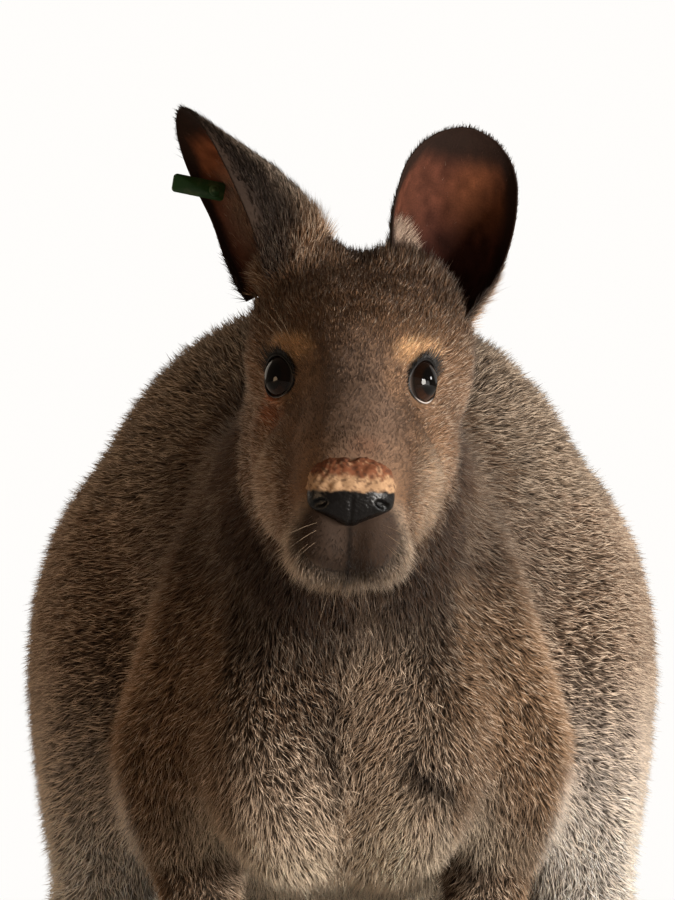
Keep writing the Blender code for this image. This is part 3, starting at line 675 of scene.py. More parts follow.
def ear_fringe(place: Array, outer: Array) -> Array:
    """Where an ear's inside has longer, paler hair.

    Args:
        place: the height, and the place across, 1 at the rim nearer the other ear.
        outer: how strong the second patch is, towards the far rim.

    Returns:
        A share for each place.
    """
    first = spot(place, (0.28, 0.66), (0.17, 0.3), 0.5)
    return np.maximum(first, outer * spot(place, (0.34, -0.45), (0.24, 0.34), 0.6))


@dataclass(frozen=True)
class EarPose:
    """Where an ear stands on the head, in degrees and in the head's frame."""

    foot: Place
    facing: float
    lean: float
    back_lean: float

    @property
    def matrix(self) -> Matrix:
        """The ear's own frame in the world: blade up along z, opening towards -y.

        Returns:
            The placing of the ear's own frame.
        """
        turn = Matrix.Rotation(math.radians(self.back_lean), 4, "X")
        turn = turn @ Matrix.Rotation(math.radians(self.lean), 4, "Y")
        turn = turn @ Matrix.Rotation(math.radians(self.facing), 4, "Z")
        return HEAD.matrix @ Matrix.Translation(Vector(self.foot)) @ turn


EAR_POSES = {
    Side.LEFT: EarPose((0.0351, 0.0434, 0.0235), 5.0, 8.0, 2.0),
    Side.RIGHT: EarPose((-0.0352, 0.0438, 0.036), -74.0, -29.0, 0.0),
}


@dataclass(frozen=True)
class Ear:
    """One ear's blade: cupped, thick at the root and thin at its rim, ready to join the skin."""

    side: Side
    length: float = 0.0836
    wall: float = 0.0018
    rim_share: float = 0.45
    rows: int = 60
    columns: int = 36
    column_reach: float = math.pi / 2.0 * 0.98
    step: float = 0.002
    sweep_back: float = 0.002
    heights: Tuple[float, ...] = (0.0, 0.12, 0.3, 0.48, 0.66, 0.8, 0.91, 0.975, 1.0)
    chords: Tuple[float, ...] = (0.018, 0.029, 0.044, 0.05, 0.05, 0.045, 0.033, 0.018, 0.006)
    depths: Tuple[float, ...] = (0.026, 0.032, 0.031, 0.026, 0.017, 0.0095, 0.0042, 0.0016, 0.0004)
    sweeps: Tuple[float, ...] = (120.0, 112.0, 100.0, 92.0, 82.0, 72.0, 62.0, 56.0, 52.0)
    fold_depth: float = 0.0016
    lobe: float = 0.0075
    lobe_top: float = 0.5

    def blade(self, height: Array, across: Array) -> Array:
        """Places on the blade's middle surface, in the ear's own frame.

        A section is an arc over plus and minus its half angle, stretched to its chord across and
        to its depth behind. The blade bends back with the square of the height. Low down the
        outer rim bulges, by the square of the place across.

        Args:
            height: 0 at the root and 1 at the tip.
            across: -1 and 1 at the two rims.

        Returns:
            One place for each pair of values.
        """
        chord = through(height, self.heights, self.chords)
        depth = through(height, self.heights, self.depths)
        half = np.radians(through(height, self.heights, self.sweeps))
        angle = half * across
        x = chord / 2.0 * np.sin(angle) / np.sin(np.minimum(half, math.pi / 2.0))
        y = depth * (np.cos(angle) - np.cos(half)) / (1.0 - np.cos(half)) + self.sweep_back * height**2
        bulge = self.lobe * np.clip(across * self.side.value, 0.0, 1.0) ** 2
        y = y - bulge * fall(height, 0.0, self.lobe_top)
        return np.stack([x, y, height * self.length], axis=-1)

    def shell(self) -> Tuple[Array, Array, Array]:
        """The closed blade.

        Each ring runs over the outer wall, round one rim, back over the inner wall and round the
        other rim. The walls stand half a thickness either side of the middle surface, and two
        low ridges run up inside.

        Returns:
            The places in the world, the triangles, and each place's height, place across and
            wall, which is 1 outside, -1 inside and 0 on the rim.
        """
        rising = 1.0 - (1.0 - np.linspace(0.0, 1.0, self.rows)) ** 1.3
        spread = np.sin(np.linspace(-1.0, 1.0, self.columns) * self.column_reach)
        spread /= math.sin(self.column_reach)
        height, across = np.broadcast_arrays(rising[:, None], spread[None, :])
        middle = self.blade(height, across)
        upward = self.blade(np.minimum(height + self.step, 1.0), across)
        upward -= self.blade(np.maximum(height - self.step, 0.0), across)
        sideways = self.blade(height, np.minimum(across + self.step, 1.0))
        sideways -= self.blade(height, np.maximum(across - self.step, -1.0))
        behind = unit(np.cross(upward, sideways))
        behind *= np.sign(behind[:, self.columns // 2, 1])[:, None, None]
        thin = 1.0 - (1.0 - self.rim_share) * ramp(np.abs(across), 0.55, 1.0)
        thin *= 1.0 - 0.35 * ramp(height, 0.8, 1.0)
        half = (self.wall * thin / 2.0)[..., None]
        low = ramp(height, 0.04, 0.15) * fall(height, 0.5, 0.72)
        ridge = hump(across + 0.42 * self.side.value, 0.07) + 0.6 * hump(across - 0.05, 0.05)
        outer = middle + behind * half
        inner = middle - behind * (half + (self.fold_depth * low * ridge)[..., None])
        out = unit(sideways) * half * 1.2
        rings = np.concatenate(
            [outer, middle[:, -1:] + out[:, -1:], inner[:, ::-1], middle[:, :1] - out[:, :1]], axis=1
        )
        points, triangles = tube(rings)
        local = np.column_stack(
            [
                np.repeat(rising, rings.shape[1]),
                np.tile(np.concatenate([spread, [1.0], spread[::-1], [-1.0]]), self.rows),
                np.tile(np.repeat([1.0, 0.0, -1.0, 0.0], [self.columns, 1, self.columns, 1]), self.rows),
            ]
        )
        local = np.concatenate([local, [[0.0, 0.0, 0.0], [1.0, 0.0, 0.0]]])
        return moved(points, EAR_POSES[self.side].matrix), triangles, local

    def fields(self, points: Array, normals: Array, local: Array) -> Fields:
        """The coat's measures on the blade.

        Hair lies up the outer wall and out to the rims, short within. It is longer low down and
        on the medial rim, where a pale fringe reaches across the cup.

        Args:
            points: places in the world.
            normals: the normals there.
            local: each place's height, place across and wall.

        Returns:
            The fields at each place.
        """
        height, across, wall = local.T
        turn = np.array(EAR_POSES[self.side].matrix)[:3, :3]
        inside = wall < -0.5
        place = np.column_stack([height, across * -self.side.value])
        fringe = inside * ear_fringe(place, 0.6 * (self.side is Side.RIGHT))
        low = fall(height, 0.08, 0.4)
        edge = ramp(np.abs(across), 0.8, 1.0)
        outer = 0.0058 + 0.0045 * low - 0.0036 * edge
        length = np.where(inside, 0.0042 + 0.006 * fringe + 0.003 * low, outer)
        length *= 1.0 - 0.45 * ramp(height, 0.8, 1.0)
        sideways = 0.35 * across - 0.9 * fringe * np.sign(across)
        lie = np.column_stack([sideways, 0.0 * wall, np.ones(len(wall))])
        return Fields(
            points=points,
            normals=normals,
            flow=along_surface(lie @ turn.T, normals),
            part=np.full(len(points), Part.EAR.number),
            depth=np.full(len(points), Part.EAR.measures[0]),
            length=length,
            width=np.where(inside, 0.00025 + 0.0001 * fringe, 0.00046),
            spacing=np.where(wall > 0.5, 0.00084, 0.00074),
            lift=np.radians(np.where(inside, 7.0 + 22.0 * fringe, 19.0 + 12.0 * low - 10.0 * edge)),
            unruly=np.full(len(points), 0.3),
            local=local,
        )


# ---- skin


@dataclass(frozen=True)
class EyeOpening:
    """The opening between the lids, as angles about an axis that points out of the head."""

    side: Side
    outward_turn: float = math.radians(55.0)
    upward_turn: float = math.radians(2.0)
    half_width: float = math.radians(57.0)
    half_height: float = math.radians(47.0)
    slant: float = math.radians(8.0)
    power: float = 1.8
    lid: float = 0.0008

    @property
    def axes(self) -> Tuple[Array, Array, Array]:
        """Directions in the head's frame: out of the eye, back along its slit, and up across it.

        Returns:
            The three directions, each of length one.
        """
        side = self.side.value
        sine, cosine = math.sin(self.outward_turn), math.cos(self.outward_turn)
        flat = math.cos(self.upward_turn)
        out = np.array((side * sine * flat, -cosine * flat, math.sin(self.upward_turn)))
        back = unit(np.array((side * cosine, sine, 0.0)))
        up = np.cross(out, back) * side
        up = up * np.sign(up[2])
        slanted = back * math.cos(self.slant) + up * math.sin(self.slant)
        return out, slanted, up * math.cos(self.slant) - back * math.sin(self.slant)

    def place(self, inside: Array) -> Tuple[Array, Array]:
        """Where places in the head's frame lie about the eye.

        Args:
            inside: places in the head's frame.

        Returns:
            The direction from the eye's middle to each, and the angle from the eye's axis as a
            share of the opening's own angle on that side: 1 on the lids' edge.
        """
        out, back, up = self.axes
        away = unit(inside - HEAD.eye_middle(self.side))
        angle = np.arccos(np.clip(away @ out, -1.0, 1.0))
        return away, angle / self.limit(np.arctan2(away @ up, away @ back))

    def limit(self, round_it: Array) -> Array:
        """The opening's angle in a direction round the axis: a lemon with its points at the corners.

        Args:
            round_it: Directions round the axis, in radians.

        Returns:
            The angle from the axis to the rim in each direction.
        """
        across = np.abs(np.cos(round_it)) ** 1.7
        upright = np.abs(np.sin(round_it)) ** 1.9
        total = across / self.half_width**self.power + upright / self.half_height**self.power
        return total ** (-1.0 / self.power)

    def edge(self, count: int) -> Tuple[Array, Array]:
        """Directions from the eye's middle to the lids' edge.

        Args:
            count: how many are made.

        Returns:
            The directions, and the turn round the axis of each.
        """
        out, back, up = self.axes
        round_it = circle(count)
        angle = self.limit(round_it)
        beside = np.cos(round_it)[:, None] * back + np.sin(round_it)[:, None] * up
        return np.cos(angle)[:, None] * out + np.sin(angle)[:, None] * beside, round_it


@dataclass
class Skin:
    """One closed skin over all the flesh, sunk below the solids by the depth of the coat.

    Copies of the flesh nodes are swollen until they overlap, remeshed into one surface, eased,
    thinned away from the head, and moved in along their normals.
    """

    swell: float = 0.00035
    voxel: float = 0.0018
    easing: int = 10
    head_easing: int = 3
    cheek_easing: int = 24
    triangle_goal: int = 150_000
    thinning_levels: float = 4.0
    field_passes: int = 14
    plug_shrink: float = 0.0012
    piece: Piece = field(init=False)
    fields: Fields = field(init=False)

    def build(self) -> Piece:
        """Makes the skin's object, step by step, and measures the coat on it.

        Returns:
            The skin's object, which also stays in piece.
        """
        self.piece = self.fused()
        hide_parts(*FLESH_NODES)
        self.ease()
        self.thin()
        self.fields = self.measure()
        self.sink()
        self.open_eyes()
        self.bed_nose()
        self.add_ears()
        return self.piece

    def fused(self) -> Piece:
        """Copies of the flesh nodes as one surface, with plugs where eyes and nose go.

        Returns:
            The skin's object, its mesh not yet eased.
        """
        form = bmesh.new()
        for node in [node for part in FUSED_PARTS for node in part.nodes]:
            mesh = welded(node, "flesh_copy")
            write_points(mesh, read_points(mesh) + read_normals(mesh) * self.swell)
            form.from_mesh(mesh)
            bpy.data.meshes.remove(mesh)
        for side in Side:
            middle = HEAD.to_world(HEAD.eye_middle(side)[None])[0]
            self.add_plug(form, middle, (HEAD.eye_radius - self.plug_shrink,) * 3)
        low, high = (np.array(corner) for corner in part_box("nose"))
        self.add_plug(form, (low + high) / 2.0, tuple((high - low) / 2.0 - self.plug_shrink))
        mesh = bpy.data.meshes.new("skin")
        form.to_mesh(mesh)
        form.free()
        piece = new_piece("skin", mesh)
        remesh = piece.modifiers.new("one_surface", "REMESH")
        remesh.mode = "VOXEL"
        remesh.voxel_size = self.voxel
        apply_modifiers(piece)
        return piece

    @staticmethod
    def add_plug(form: bmesh.types.BMesh, middle: Array, radii: Sequence[float]) -> None:
        """Adds an ellipsoid that fills a socket, so that the skin closes under what sits there."""
        made = bmesh.ops.create_icosphere(form, subdivisions=3, radius=1.0)
        bmesh.ops.scale(form, vec=Vector(radii), verts=made["verts"])
        bmesh.ops.translate(form, vec=Vector(middle), verts=made["verts"])

    def ease(self) -> None:
        """Evens out steps left by the parting cuts, less on head, hands and feet."""
        mesh = self.piece.data
        points = read_points(mesh)
        head_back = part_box("head")[1][1]
        body = ramp(points[:, 1], head_back - 0.06, head_back - 0.02)
        body *= ramp(points[:, 2], 0.03, 0.07)
        points = smoothed(points, mesh, self.head_easing, 0.6)
        half = mirrored(HEAD.to_head(points))
        cheek = spot(half, (0.031, -0.018, -0.036), (0.02, 0.05, 0.036), 0.5)
        points = smoothed(points, mesh, self.cheek_easing, 0.7, cheek)
        write_points(mesh, smoothed(points, mesh, self.easing, 0.7, body))

    def thin(self) -> None:
        """Takes triangles away from the skin behind the head, where the coat hides it."""
        mesh = self.piece.data
        points = read_points(mesh)
        (_, _, head_low), (_, head_back, _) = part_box("head")
        fine = fall(points[:, 1], head_back - 0.05, head_back - 0.01)
        fine *= ramp(points[:, 2], head_low - 0.02, head_low)
        group = self.piece.vertex_groups.new(name="coarse")
        levels = np.round((1.0 - fine) * self.thinning_levels) / self.thinning_levels
        for level in np.unique(levels):
            group.add(np.flatnonzero(levels == level).tolist(), float(level), "REPLACE")
        thinner = self.piece.modifiers.new("thinner", "DECIMATE")
        thinner.ratio = min(1.0, self.triangle_goal / (2.0 * len(mesh.polygons)))
        thinner.vertex_group = group.name
        thinner.vertex_group_factor = 1.0
        thinner.use_collapse_triangulate = True
        apply_modifiers(self.piece)
        self.piece.vertex_groups.clear()

    def measure(self) -> Fields:
        """Works out the coat's measures and lie at each vertex, evened out between parts.

        Returns:
            The fields at each vertex.
        """
        mesh = self.piece.data
        points = read_points(mesh)
        normals = read_normals(mesh)
        part = nearest_part(points)
        measures = np.array([part.measures for part in PARTS])[part]
        both_rows = np.concatenate([measures, lie_of_coat(points, normals, part)], axis=1)
        mixed = smoothed(both_rows, mesh, self.field_passes, 0.8)
        measures = mixed[:, :6]
        self.face_coat(points, measures)
        flow = along_surface(mixed[:, 6:], normals)
        return Fields(points, normals, flow, part, *measures.T, np.zeros((len(points), 3)))

    @staticmethod
    def face_coat(points: Array, measures: Array) -> None:
        """Shortens the coat towards the muzzle and eyes, and lengthens it where it is fuller.

        The jaws carry a ruff that stands out, the lips a fringe, and longer hair stands up at the
        roots of the ears.

        Args:
            points: the places.
            measures: depth, length, width, spacing, lift and unruliness, changed in place.
        """
        inside = HEAD.to_head(points)
        half = mirrored(inside)
        on_head = ramp(points[:, 2], 0.25, 0.29) * fall(inside[:, 1], 0.06, 0.1)
        forward = ramp(-inside[:, 1], -0.055, 0.07) * on_head
        ruff = spot(half, (0.033, -0.026, -0.056), (0.013, 0.034, 0.026), 0.5) * on_head
        fringe = spot(half, (0.0, -0.07, -0.074), (0.031, 0.034, 0.018), 0.3) * on_head
        fringe *= 1.0 - spot(half, (0.0, -0.086, -0.063), (0.024, 0.05, 0.02), 0.12)
        root = spot(half, (0.028, 0.046, 0.044), (0.026, 0.018, 0.022), 0.5) * on_head
        extra = 0.95 * ruff + 1.55 * fringe + 0.35 * root
        shrink = 1.0 - 0.55 * forward
        measures[:, 0] *= shrink
        measures[:, 1] *= shrink + extra
        measures[:, 2] *= 1.0 - 0.3 * forward + 0.25 * np.clip(extra, 0.0, 1.0)
        measures[:, 3] *= 1.0 - 0.2 * forward
        measures[:, 4] *= 1.0 - 0.4 * forward + 0.4 * ruff + 0.5 * fringe + 0.6 * root

    def sink(self) -> None:
        """Moves the skin in by the coat's depth and evens it once more."""
        mesh = self.piece.data
        fields = self.fields
        depth = fields.depth * ramp(fields.points[:, 2], -0.001, 0.006)
        write_points(mesh, smoothed(fields.points - fields.normals * depth[:, None], mesh, 2, 0.4))
        fields.settle(mesh)

    def open_eyes(self) -> None:
        """Draws the lids over each eyeball and sinks the skin behind its opening.

        Within the opening the skin lies under the ball, and outside it at least a lid's
        thickness over it, with a smooth step between. The lids are fuller at the opening's edge.
        """
        mesh = self.piece.data
        radius = HEAD.eye_radius
        inside = HEAD.to_head(read_points(mesh))
        for side in Side:
            opening = EyeOpening(side)
            away, share = opening.place(inside)
            reach = HEAD.from_eye(inside, side)
            near = fall(reach, radius + 0.004, radius + 0.008)
            far = ramp(share, 1.5, 2.1)
            lid = radius + opening.lid + 0.0007 * hump(share - 1.22, 0.14)
            lid = lid * (1.0 - far) + (radius - 0.004) * far
            step = ramp(share, 0.94, 1.04)
            under = (radius - 0.0014) * (1.0 - step) + lid * step
            goal = np.where(share < 1.04, under, np.maximum(reach, lid))
            inside = HEAD.eye_middle(side) + away * (reach + (goal - reach) * near)[:, None]
        write_points(mesh, HEAD.to_world(inside))
        self.fields.settle(mesh)

    def bed_nose(self) -> None:
        """Sinks the skin under the nose pad, so that the nostrils are deep and dark."""
        mesh = self.piece.data
        centre, radii = np.array(NosePad.centre), np.array(NosePad.radii)
        lie = (HEAD.to_head(read_points(mesh)) - centre) / radii
        reach = np.linalg.norm(lie, axis=1)
        goal = np.where(reach < 1.04, np.minimum(reach, 0.55 + 0.49 * ramp(reach, 0.86, 1.04)), reach)
        sunk = centre + lie * (goal / np.maximum(reach, 1e-6))[:, None] * radii
        write_points(mesh, HEAD.to_world(sunk))
        self.fields.points = read_points(mesh)

    def add_ears(self) -> None:
        """Joins the two ears' blades to the skin and their measures to its own."""
        old = self.piece.data
        points = read_points(old)
        triangles = read_triangles(old)
        for side in Side:
            ear = Ear(side)
            more, faces, local = ear.shell()
            blade = new_mesh("blade", more, faces)
            outward(blade)
            self.fields = self.fields.joined(ear.fields(more, read_normals(blade), local))
            triangles = np.concatenate([triangles, read_triangles(blade) + len(points)])
            points = np.concatenate([points, more])
            bpy.data.meshes.remove(blade)
        self.piece.data = new_mesh("skin", points, triangles)
        self.piece.data.shade_smooth()
        bpy.data.meshes.remove(old)

    def paint(self) -> None:
        """Colours the skin like the coat, darker where long hair shades it."""
        bare = fall(self.fields.length, 0.0028, 0.0062)
        bare = np.where(self.fields.local[:, 2] < -0.5, 1.0, bare)
        colours = MARKINGS.colour(self.fields) * (0.3 + 0.55 * bare)[:, None]
        write_colours(self.piece.data, colours)


# ---- markings


@dataclass(frozen=True)
class Palette:
    """The coat's colours, as seen in even light; the shadow, throat and deep ear colours are painted shade,
    and the neck's is darkened by painted shade.
    """

    back: Colour = srgb(120, 102, 85)
    shoulder: Colour = srgb(104, 82, 63)
    flank: Colour = srgb(124, 102, 84)
    haunch: Colour = srgb(236, 225, 213)
    shadow: Colour = srgb(48, 34, 25)
    # also painted light on the front of each shoulder, where arm and chest meet
    band: Colour = srgb(140, 111, 85)
    # darkened by painted shade, for the neck under the head
    neck: Colour = srgb(84, 60, 41)
    # painted shade under the chin and down the throat
    throat: Colour = srgb(88, 60, 37)
    # also painted light in a patch on the chest's lit side
    chest: Colour = srgb(196, 171, 147)
    # also painted light low on the chest's lit side
    belly: Colour = srgb(216, 198, 174)
    # also painted shade on the muzzle's shaded side
    crown: Colour = srgb(124, 93, 68)
    face: Colour = srgb(120, 98, 83)
    cheek: Colour = srgb(146, 114, 88)
    # also painted light: the jaw on the lit side is paler
    jaw: Colour = srgb(200, 166, 134)
    muzzle: Colour = srgb(48, 35, 28)
    fringe: Colour = srgb(228, 200, 172)
    brow: Colour = srgb(204, 162, 120)
    rust: Colour = srgb(164, 84, 38)
    lash: Colour = srgb(20, 15, 12)
    paw: Colour = srgb(34, 27, 22)
    limb: Colour = srgb(156, 124, 94)
    tail: Colour = srgb(122, 106, 90)
    tail_end: Colour = srgb(44, 37, 32)
    tip: Colour = srgb(206, 186, 164)
    ear_back: Colour = srgb(112, 94, 79)
    ear_fuzz: Colour = srgb(222, 208, 194)
    ear_rim: Colour = srgb(38, 27, 22)
    ear_skin: Colour = srgb(86, 50, 37)
    # painted shade deep in the ear's cup
    ear_deep: Colour = srgb(60, 32, 26)
    ear_warm: Colour = srgb(114, 67, 40)
    ear_fringe: Colour = srgb(226, 200, 178)


@dataclass
class Markings:
    """The colours of the coat as a function of place, shared by the skin and every tuft."""

    palette: Palette = field(default_factory=Palette)

    def colour(self, fields: Fields) -> Array:
        """The coat's main colour.

        Args:
            fields: the places, with all that the coat has there.

        Returns:
            A linear colour for each place.
        """
        colours = np.array([getattr(self.palette, part.base) for part in PARTS])[fields.part]
        for marks in (self.trunk, self.creases, self.limbs, self.head, self.eyes):
            for colour, share in marks(fields):
                colours = blend(colours, colour, share)
        colours = self.ear(colours, fields)
        return np.clip(colours * (1.0 + 0.13 * waves(fields.points, 0.055, 11)[:, None]), 0.0, 1.0)

    def trunk(self, fields: Fields) -> List[Mark]:
        """A grey-cream chest with a painted light patch on its lit side, and painted shade on the neck behind
        the head.

        Args:
            fields: the places.

        Returns:
            The marks, in the order in which they cover each other.
        """
        points = fields.points
        x, y, z = points.T
        front = ramp(-fields.normals[:, 1], -0.2, 0.5)
        middle = fall(np.abs(x - 0.004), 0.044, 0.078)
        low = fall(z + 0.006 * waves(points, 0.03, 17), 0.208, 0.264)
        chest = 0.92 * front * middle * low * (y < -0.3)
        # painted light: a paler patch on the chest's lit side
        lit_bib = 0.55 * front * spot(points[:, [0, 2]], (0.016, 0.262), (0.017, 0.042), 0.6)
        # painted shade on the neck behind and under the head
        neck = fall(np.abs(x - 0.02), 0.095, 0.145) * ramp(z, 0.28, 0.34)
        neck = neck * fall(y, -0.34, -0.24) * ramp(HEAD.to_head(points)[:, 1], 0.02, 0.06)
        return [(self.palette.chest, chest), (self.palette.chest, lit_bib), (self.palette.shadow, 0.55 * neck)]

    def creases(self, fields: Fields) -> List[Mark]:
        """A parting down the chest, its dark underfur deepened by painted shade; painted shade in the left
        armpit, under the chin and on the chest's shaded side; painted light low on its lit side; and a pale
        belly.

        Args:
            fields: the places.

        Returns:
            The marks.
        """
        x, y, z = fields.points.T
        place = np.column_stack([x, z])
        front = ramp(-fields.normals[:, 1], -0.2, 0.5)
        # the parting's dark underfur, deepened by painted shade
        parting = hump(x + 0.005 + 0.0012 * np.sin(z * 210.0), 0.0042) * ramp(z, 0.2, 0.225)
        parting = 0.8 * parting * fall(z, 0.265, 0.29) * front
        # painted shade in the crease and pit between the left arm and the chest
        crease = hump(z - 0.235 + 0.56 * (x - 0.0277), 0.008) * ramp(x, 0.02, 0.032)
        pit_shade = np.maximum(crease * fall(x, 0.056, 0.068), spot(place, (0.056, 0.208), (0.015, 0.028), 0.6))
        pit_shade = np.maximum(pit_shade, spot(place, (0.041, 0.18), (0.012, 0.018), 0.6)) * (y < -0.34)
        # painted shade under the chin and down the throat
        sides = np.column_stack([np.abs(x - 0.006), z])
        throat = spot(sides, (0.038, 0.306), (0.04, 0.032), 0.6) * (y > -0.55)
        throat = np.maximum(throat, spot(place, (-0.022, 0.292), (0.036, 0.02), 0.6)) * front
        # painted shade on the chest's shaded side
        shaded_chest = 0.4 * front * spot(place, (-0.012, 0.228), (0.022, 0.052), 0.7)
        # all of these are painted shade, drawn in the shadow colour
        dark = np.maximum.reduce([parting, 0.97 * pit_shade, 0.62 * throat, shaded_chest])
        # painted light low on the chest's lit side; the belly below is its own pale colour
        pale = spot(place, (0.019, 0.188), (0.013, 0.034), 0.6) * front * (y < -0.34)
        under = ramp(-fields.normals[:, 2], 0.15, 0.75) * ramp(z, 0.05, 0.12) * fall(z, 0.21, 0.26)
        under = under * ramp(y, -0.5, -0.4) * fall(np.abs(x), 0.06, 0.11)
        p = self.palette
        return [(p.belly, 0.7 * pale), (p.shadow, dark), (p.belly, 0.9 * under)]

    def limbs(self, fields: Fields) -> List[Mark]:
        """A warm band down the outer side of each arm, carried over the front of the shoulder as painted
        light, haunches paler below, and a dark tail end.

        Args:
            fields: the places.

        Returns:
            The marks.
        """
        _, y, z = fields.points.T
        x = np.abs(fields.points[:, 0])
        arm = fields.on(Part.ARM) * ramp(np.abs(fields.normals[:, 0]), 0.45, 0.85)
        # painted light on the shaded front of each shoulder, where arm and chest meet
        shoulder = spot(np.column_stack([x, z]), (0.082, 0.25), (0.024, 0.052), 0.7) * (y < -0.34)
        arm = np.maximum(0.5 * arm, shoulder) * fall(z, 0.29, 0.33)
        beside = x - 0.078 - 0.27 * np.clip(z - 0.178, 0.0, 0.08)
        leg = np.maximum(
            fields.on(Part.THIGH, Part.SHANK), ramp(beside, 0.0, 0.006) * ramp(y, -0.42, -0.36) * (z > 0.08)
        )
        leg = leg * fall(z, 0.17, 0.29) * (1.0 - 0.45 * ramp(y, -0.2, 0.05))
        p = self.palette
        return [(p.band, 0.85 * arm), (p.haunch, 0.92 * leg), (p.tail_end, 0.85 * ramp(y, 0.42, 0.56))]

    def head(self, fields: Fields) -> List[Mark]:
        """The face: grey bridge, tan brows, warm cheeks, pale jaws made paler on the lit side by painted
        light, painted shade on the muzzle's shaded side and under the chin, and a dark muzzle with a pale
        fringe.

        Args:
            fields: the places.

        Returns:
            The marks.
        """
        p = self.palette
        inside = HEAD.to_head(fields.points)
        on_head = ramp(fields.points[:, 2], 0.22, 0.26) * fall(inside[:, 1], 0.075, 0.115)
        half = mirrored(inside)
        patches = (
            (p.cheek, 0.85, half, (0.04, 0.006, -0.022), (0.02, 0.05, 0.034), 0.45),
            (p.face, 0.85, half, (0.0, -0.04, -0.018), (0.024, 0.055, 0.04), 0.5),
            # painted shade on the shaded side of the muzzle, in the crown's colour
            (p.crown, 0.75, inside, (-0.026, -0.045, -0.047), (0.02, 0.05, 0.026), 0.6),
            (p.cheek, 0.75, half, (0.017, -0.016, -0.002), (0.007, 0.024, 0.012), 0.45),
            (p.brow, 0.95, half, (0.0278, -0.008, 0.0115), (0.0125, 0.02, 0.006), 0.35),
            (p.jaw, 0.2, half, (0.037, -0.024, -0.056), (0.012, 0.036, 0.03), 0.5),
            # painted light: the jaw on the lit side only
            (p.jaw, 0.8, inside, (0.037, -0.024, -0.056), (0.012, 0.036, 0.03), 0.5),
            (p.rust, 0.95, inside, (-0.0375, -0.006, -0.015), (0.0085, 0.02, 0.0095), 0.45),
            (p.rust, 0.6, inside, (0.003, -0.06, -0.031), (0.01, 0.012, 0.008), 0.45),
            # painted shade under the chin
            (p.throat, 0.85, half, (0.0, -0.05, -0.096), (0.03, 0.04, 0.012), 0.4),
            (p.fringe, 0.92, half, (0.0, -0.07, -0.069), (0.029, 0.034, 0.022), 0.25),
            (p.muzzle, 0.98, half, (0.0, -0.086, -0.063), (0.0246, 0.062, 0.0205), 0.22),
        )
        line = hump(inside[:, 0], 0.0009) * ramp(-inside[:, 2], 0.057, 0.06) * (inside[:, 1] < -0.055)
        marks = [(colour, share * on_head * spot(*place)) for colour, share, *place in patches]
        return marks + [(p.lash, 0.9 * line)]

    def eyes(self, fields: Fields) -> List[Mark]:
        """Black lids, broader above each eye.

        Args:
            fields: the places.

        Returns:
            The marks.
        """
        marks = []
        inside = HEAD.to_head(fields.points)
        for side in Side:
            away, share = EyeOpening(side).place(inside)
            near = fall(HEAD.from_eye(inside, side), 0.0135, 0.0165)
            above = ramp(away[:, 2], -0.1, 0.3)
            lid = fall(share, 1.02 + 0.09 * above, 1.06 + 0.14 * above)
            marks.append((self.palette.lash, near * lid))
        return marks

    def ear(self, colours: Array, fields: Fields) -> Array:
        """Grey-brown behind, blackish along the rim, and reddish within with a pale medial fringe, with
        painted shade deep in the cup and painted light inside the right ear, which is turned from the light.

        Args:
            colours: the colours so far.
            fields: the places.

        Returns:
            The colours with the ears'.
        """
        p = self.palette
        height, across, wall = fields.local.T
        on_ear = fields.on(Part.EAR).astype(float)
        x = HEAD.to_head(fields.points)[:, 0]
        medial = -across * np.sign(x)
        turned = x < 0.0
        inside = ramp(-wall, -0.1, 0.5) * on_ear
        back = blend(np.tile(p.ear_back, (len(x), 1)), p.crown, fall(height, 0.1, 0.4))
        fuzz = 0.75 * turned * fall(medial, 0.0, 0.65) * ramp(height, 0.25, 0.55)
        back = blend(back, p.ear_fuzz, fuzz)
        colours = colours * (1.0 - on_ear[:, None]) + back * on_ear[:, None]
        colours = blend(colours, p.ear_skin, inside)
        place = np.column_stack([height, medial])
        # painted shade deep in the ear's cup
        deep = inside * spot(place, (0.22, -0.1), (0.34, 0.62), 0.6) * np.where(turned, 0.3, 0.9)
        colours = blend(colours, p.ear_deep, deep)
        warm = inside * spot(place, (0.7, -0.45), (0.22, 0.45), 0.6)
        colours = blend(colours, p.ear_warm, 0.6 * warm)
        streaks = waves(np.column_stack([across * 0.03, height * 0.016, 0.0 * wall]), 0.0045, 19)
        # uneven streaks, and painted light inside the turned right ear
        colours = colours * ((1.0 + 0.45 * streaks * inside) * (1.0 + 0.7 * inside * turned))[:, None]
        fringe = inside * ear_fringe(place, turned)
        colours = blend(colours, p.ear_fringe, 0.55 * fringe * np.where(turned, 0.8, 1.0))
        edge = self.ear_rim(fields.points, fields.local, medial, turned)
        return blend(colours, p.ear_rim, edge * on_ear * np.where(wall > 0.5, 0.88, 0.96))

    @staticmethod
    def ear_rim(points: Array, local: Array, medial: Array, turned: Array) -> Array:
        """How far places on an ear lie in its black rim, or in the fold of the right ear's edge.

        Args:
            points: the places.
            local: each place's height, place across and wall.
            medial: the place across, 1 at the rim nearer the other ear.
            turned: whether the place is on the right ear, which is turned aside.

        Returns:
            A share for each place.
        """
        height, across, wall = local.T
        rim = np.minimum((1.0 - np.abs(across)) * 0.024, (1.0 - height) * 0.046)
        rim = rim + 0.0003 * waves(points, 0.012, 15)
        breadth = 0.0085 - 0.0058 * ramp(medial, 0.2, 0.8) * fall(height, 0.6, 0.9)
        breadth = np.where(wall > 0.0, 0.0036 + 0.005 * turned * ramp(medial, 0.2, 0.6), breadth)
        breadth *= 1.0 - 0.75 * turned * (wall < 0.0) * fall(height, 0.55, 0.85)
        fold = turned * (wall > -0.5) * ramp(medial, 0.42, 0.68) * ramp(height, 0.1, 0.22)
        return np.maximum(fall(rim / breadth, 0.55, 1.25), 0.95 * fold)


MARKINGS = Markings()


# ---- coat


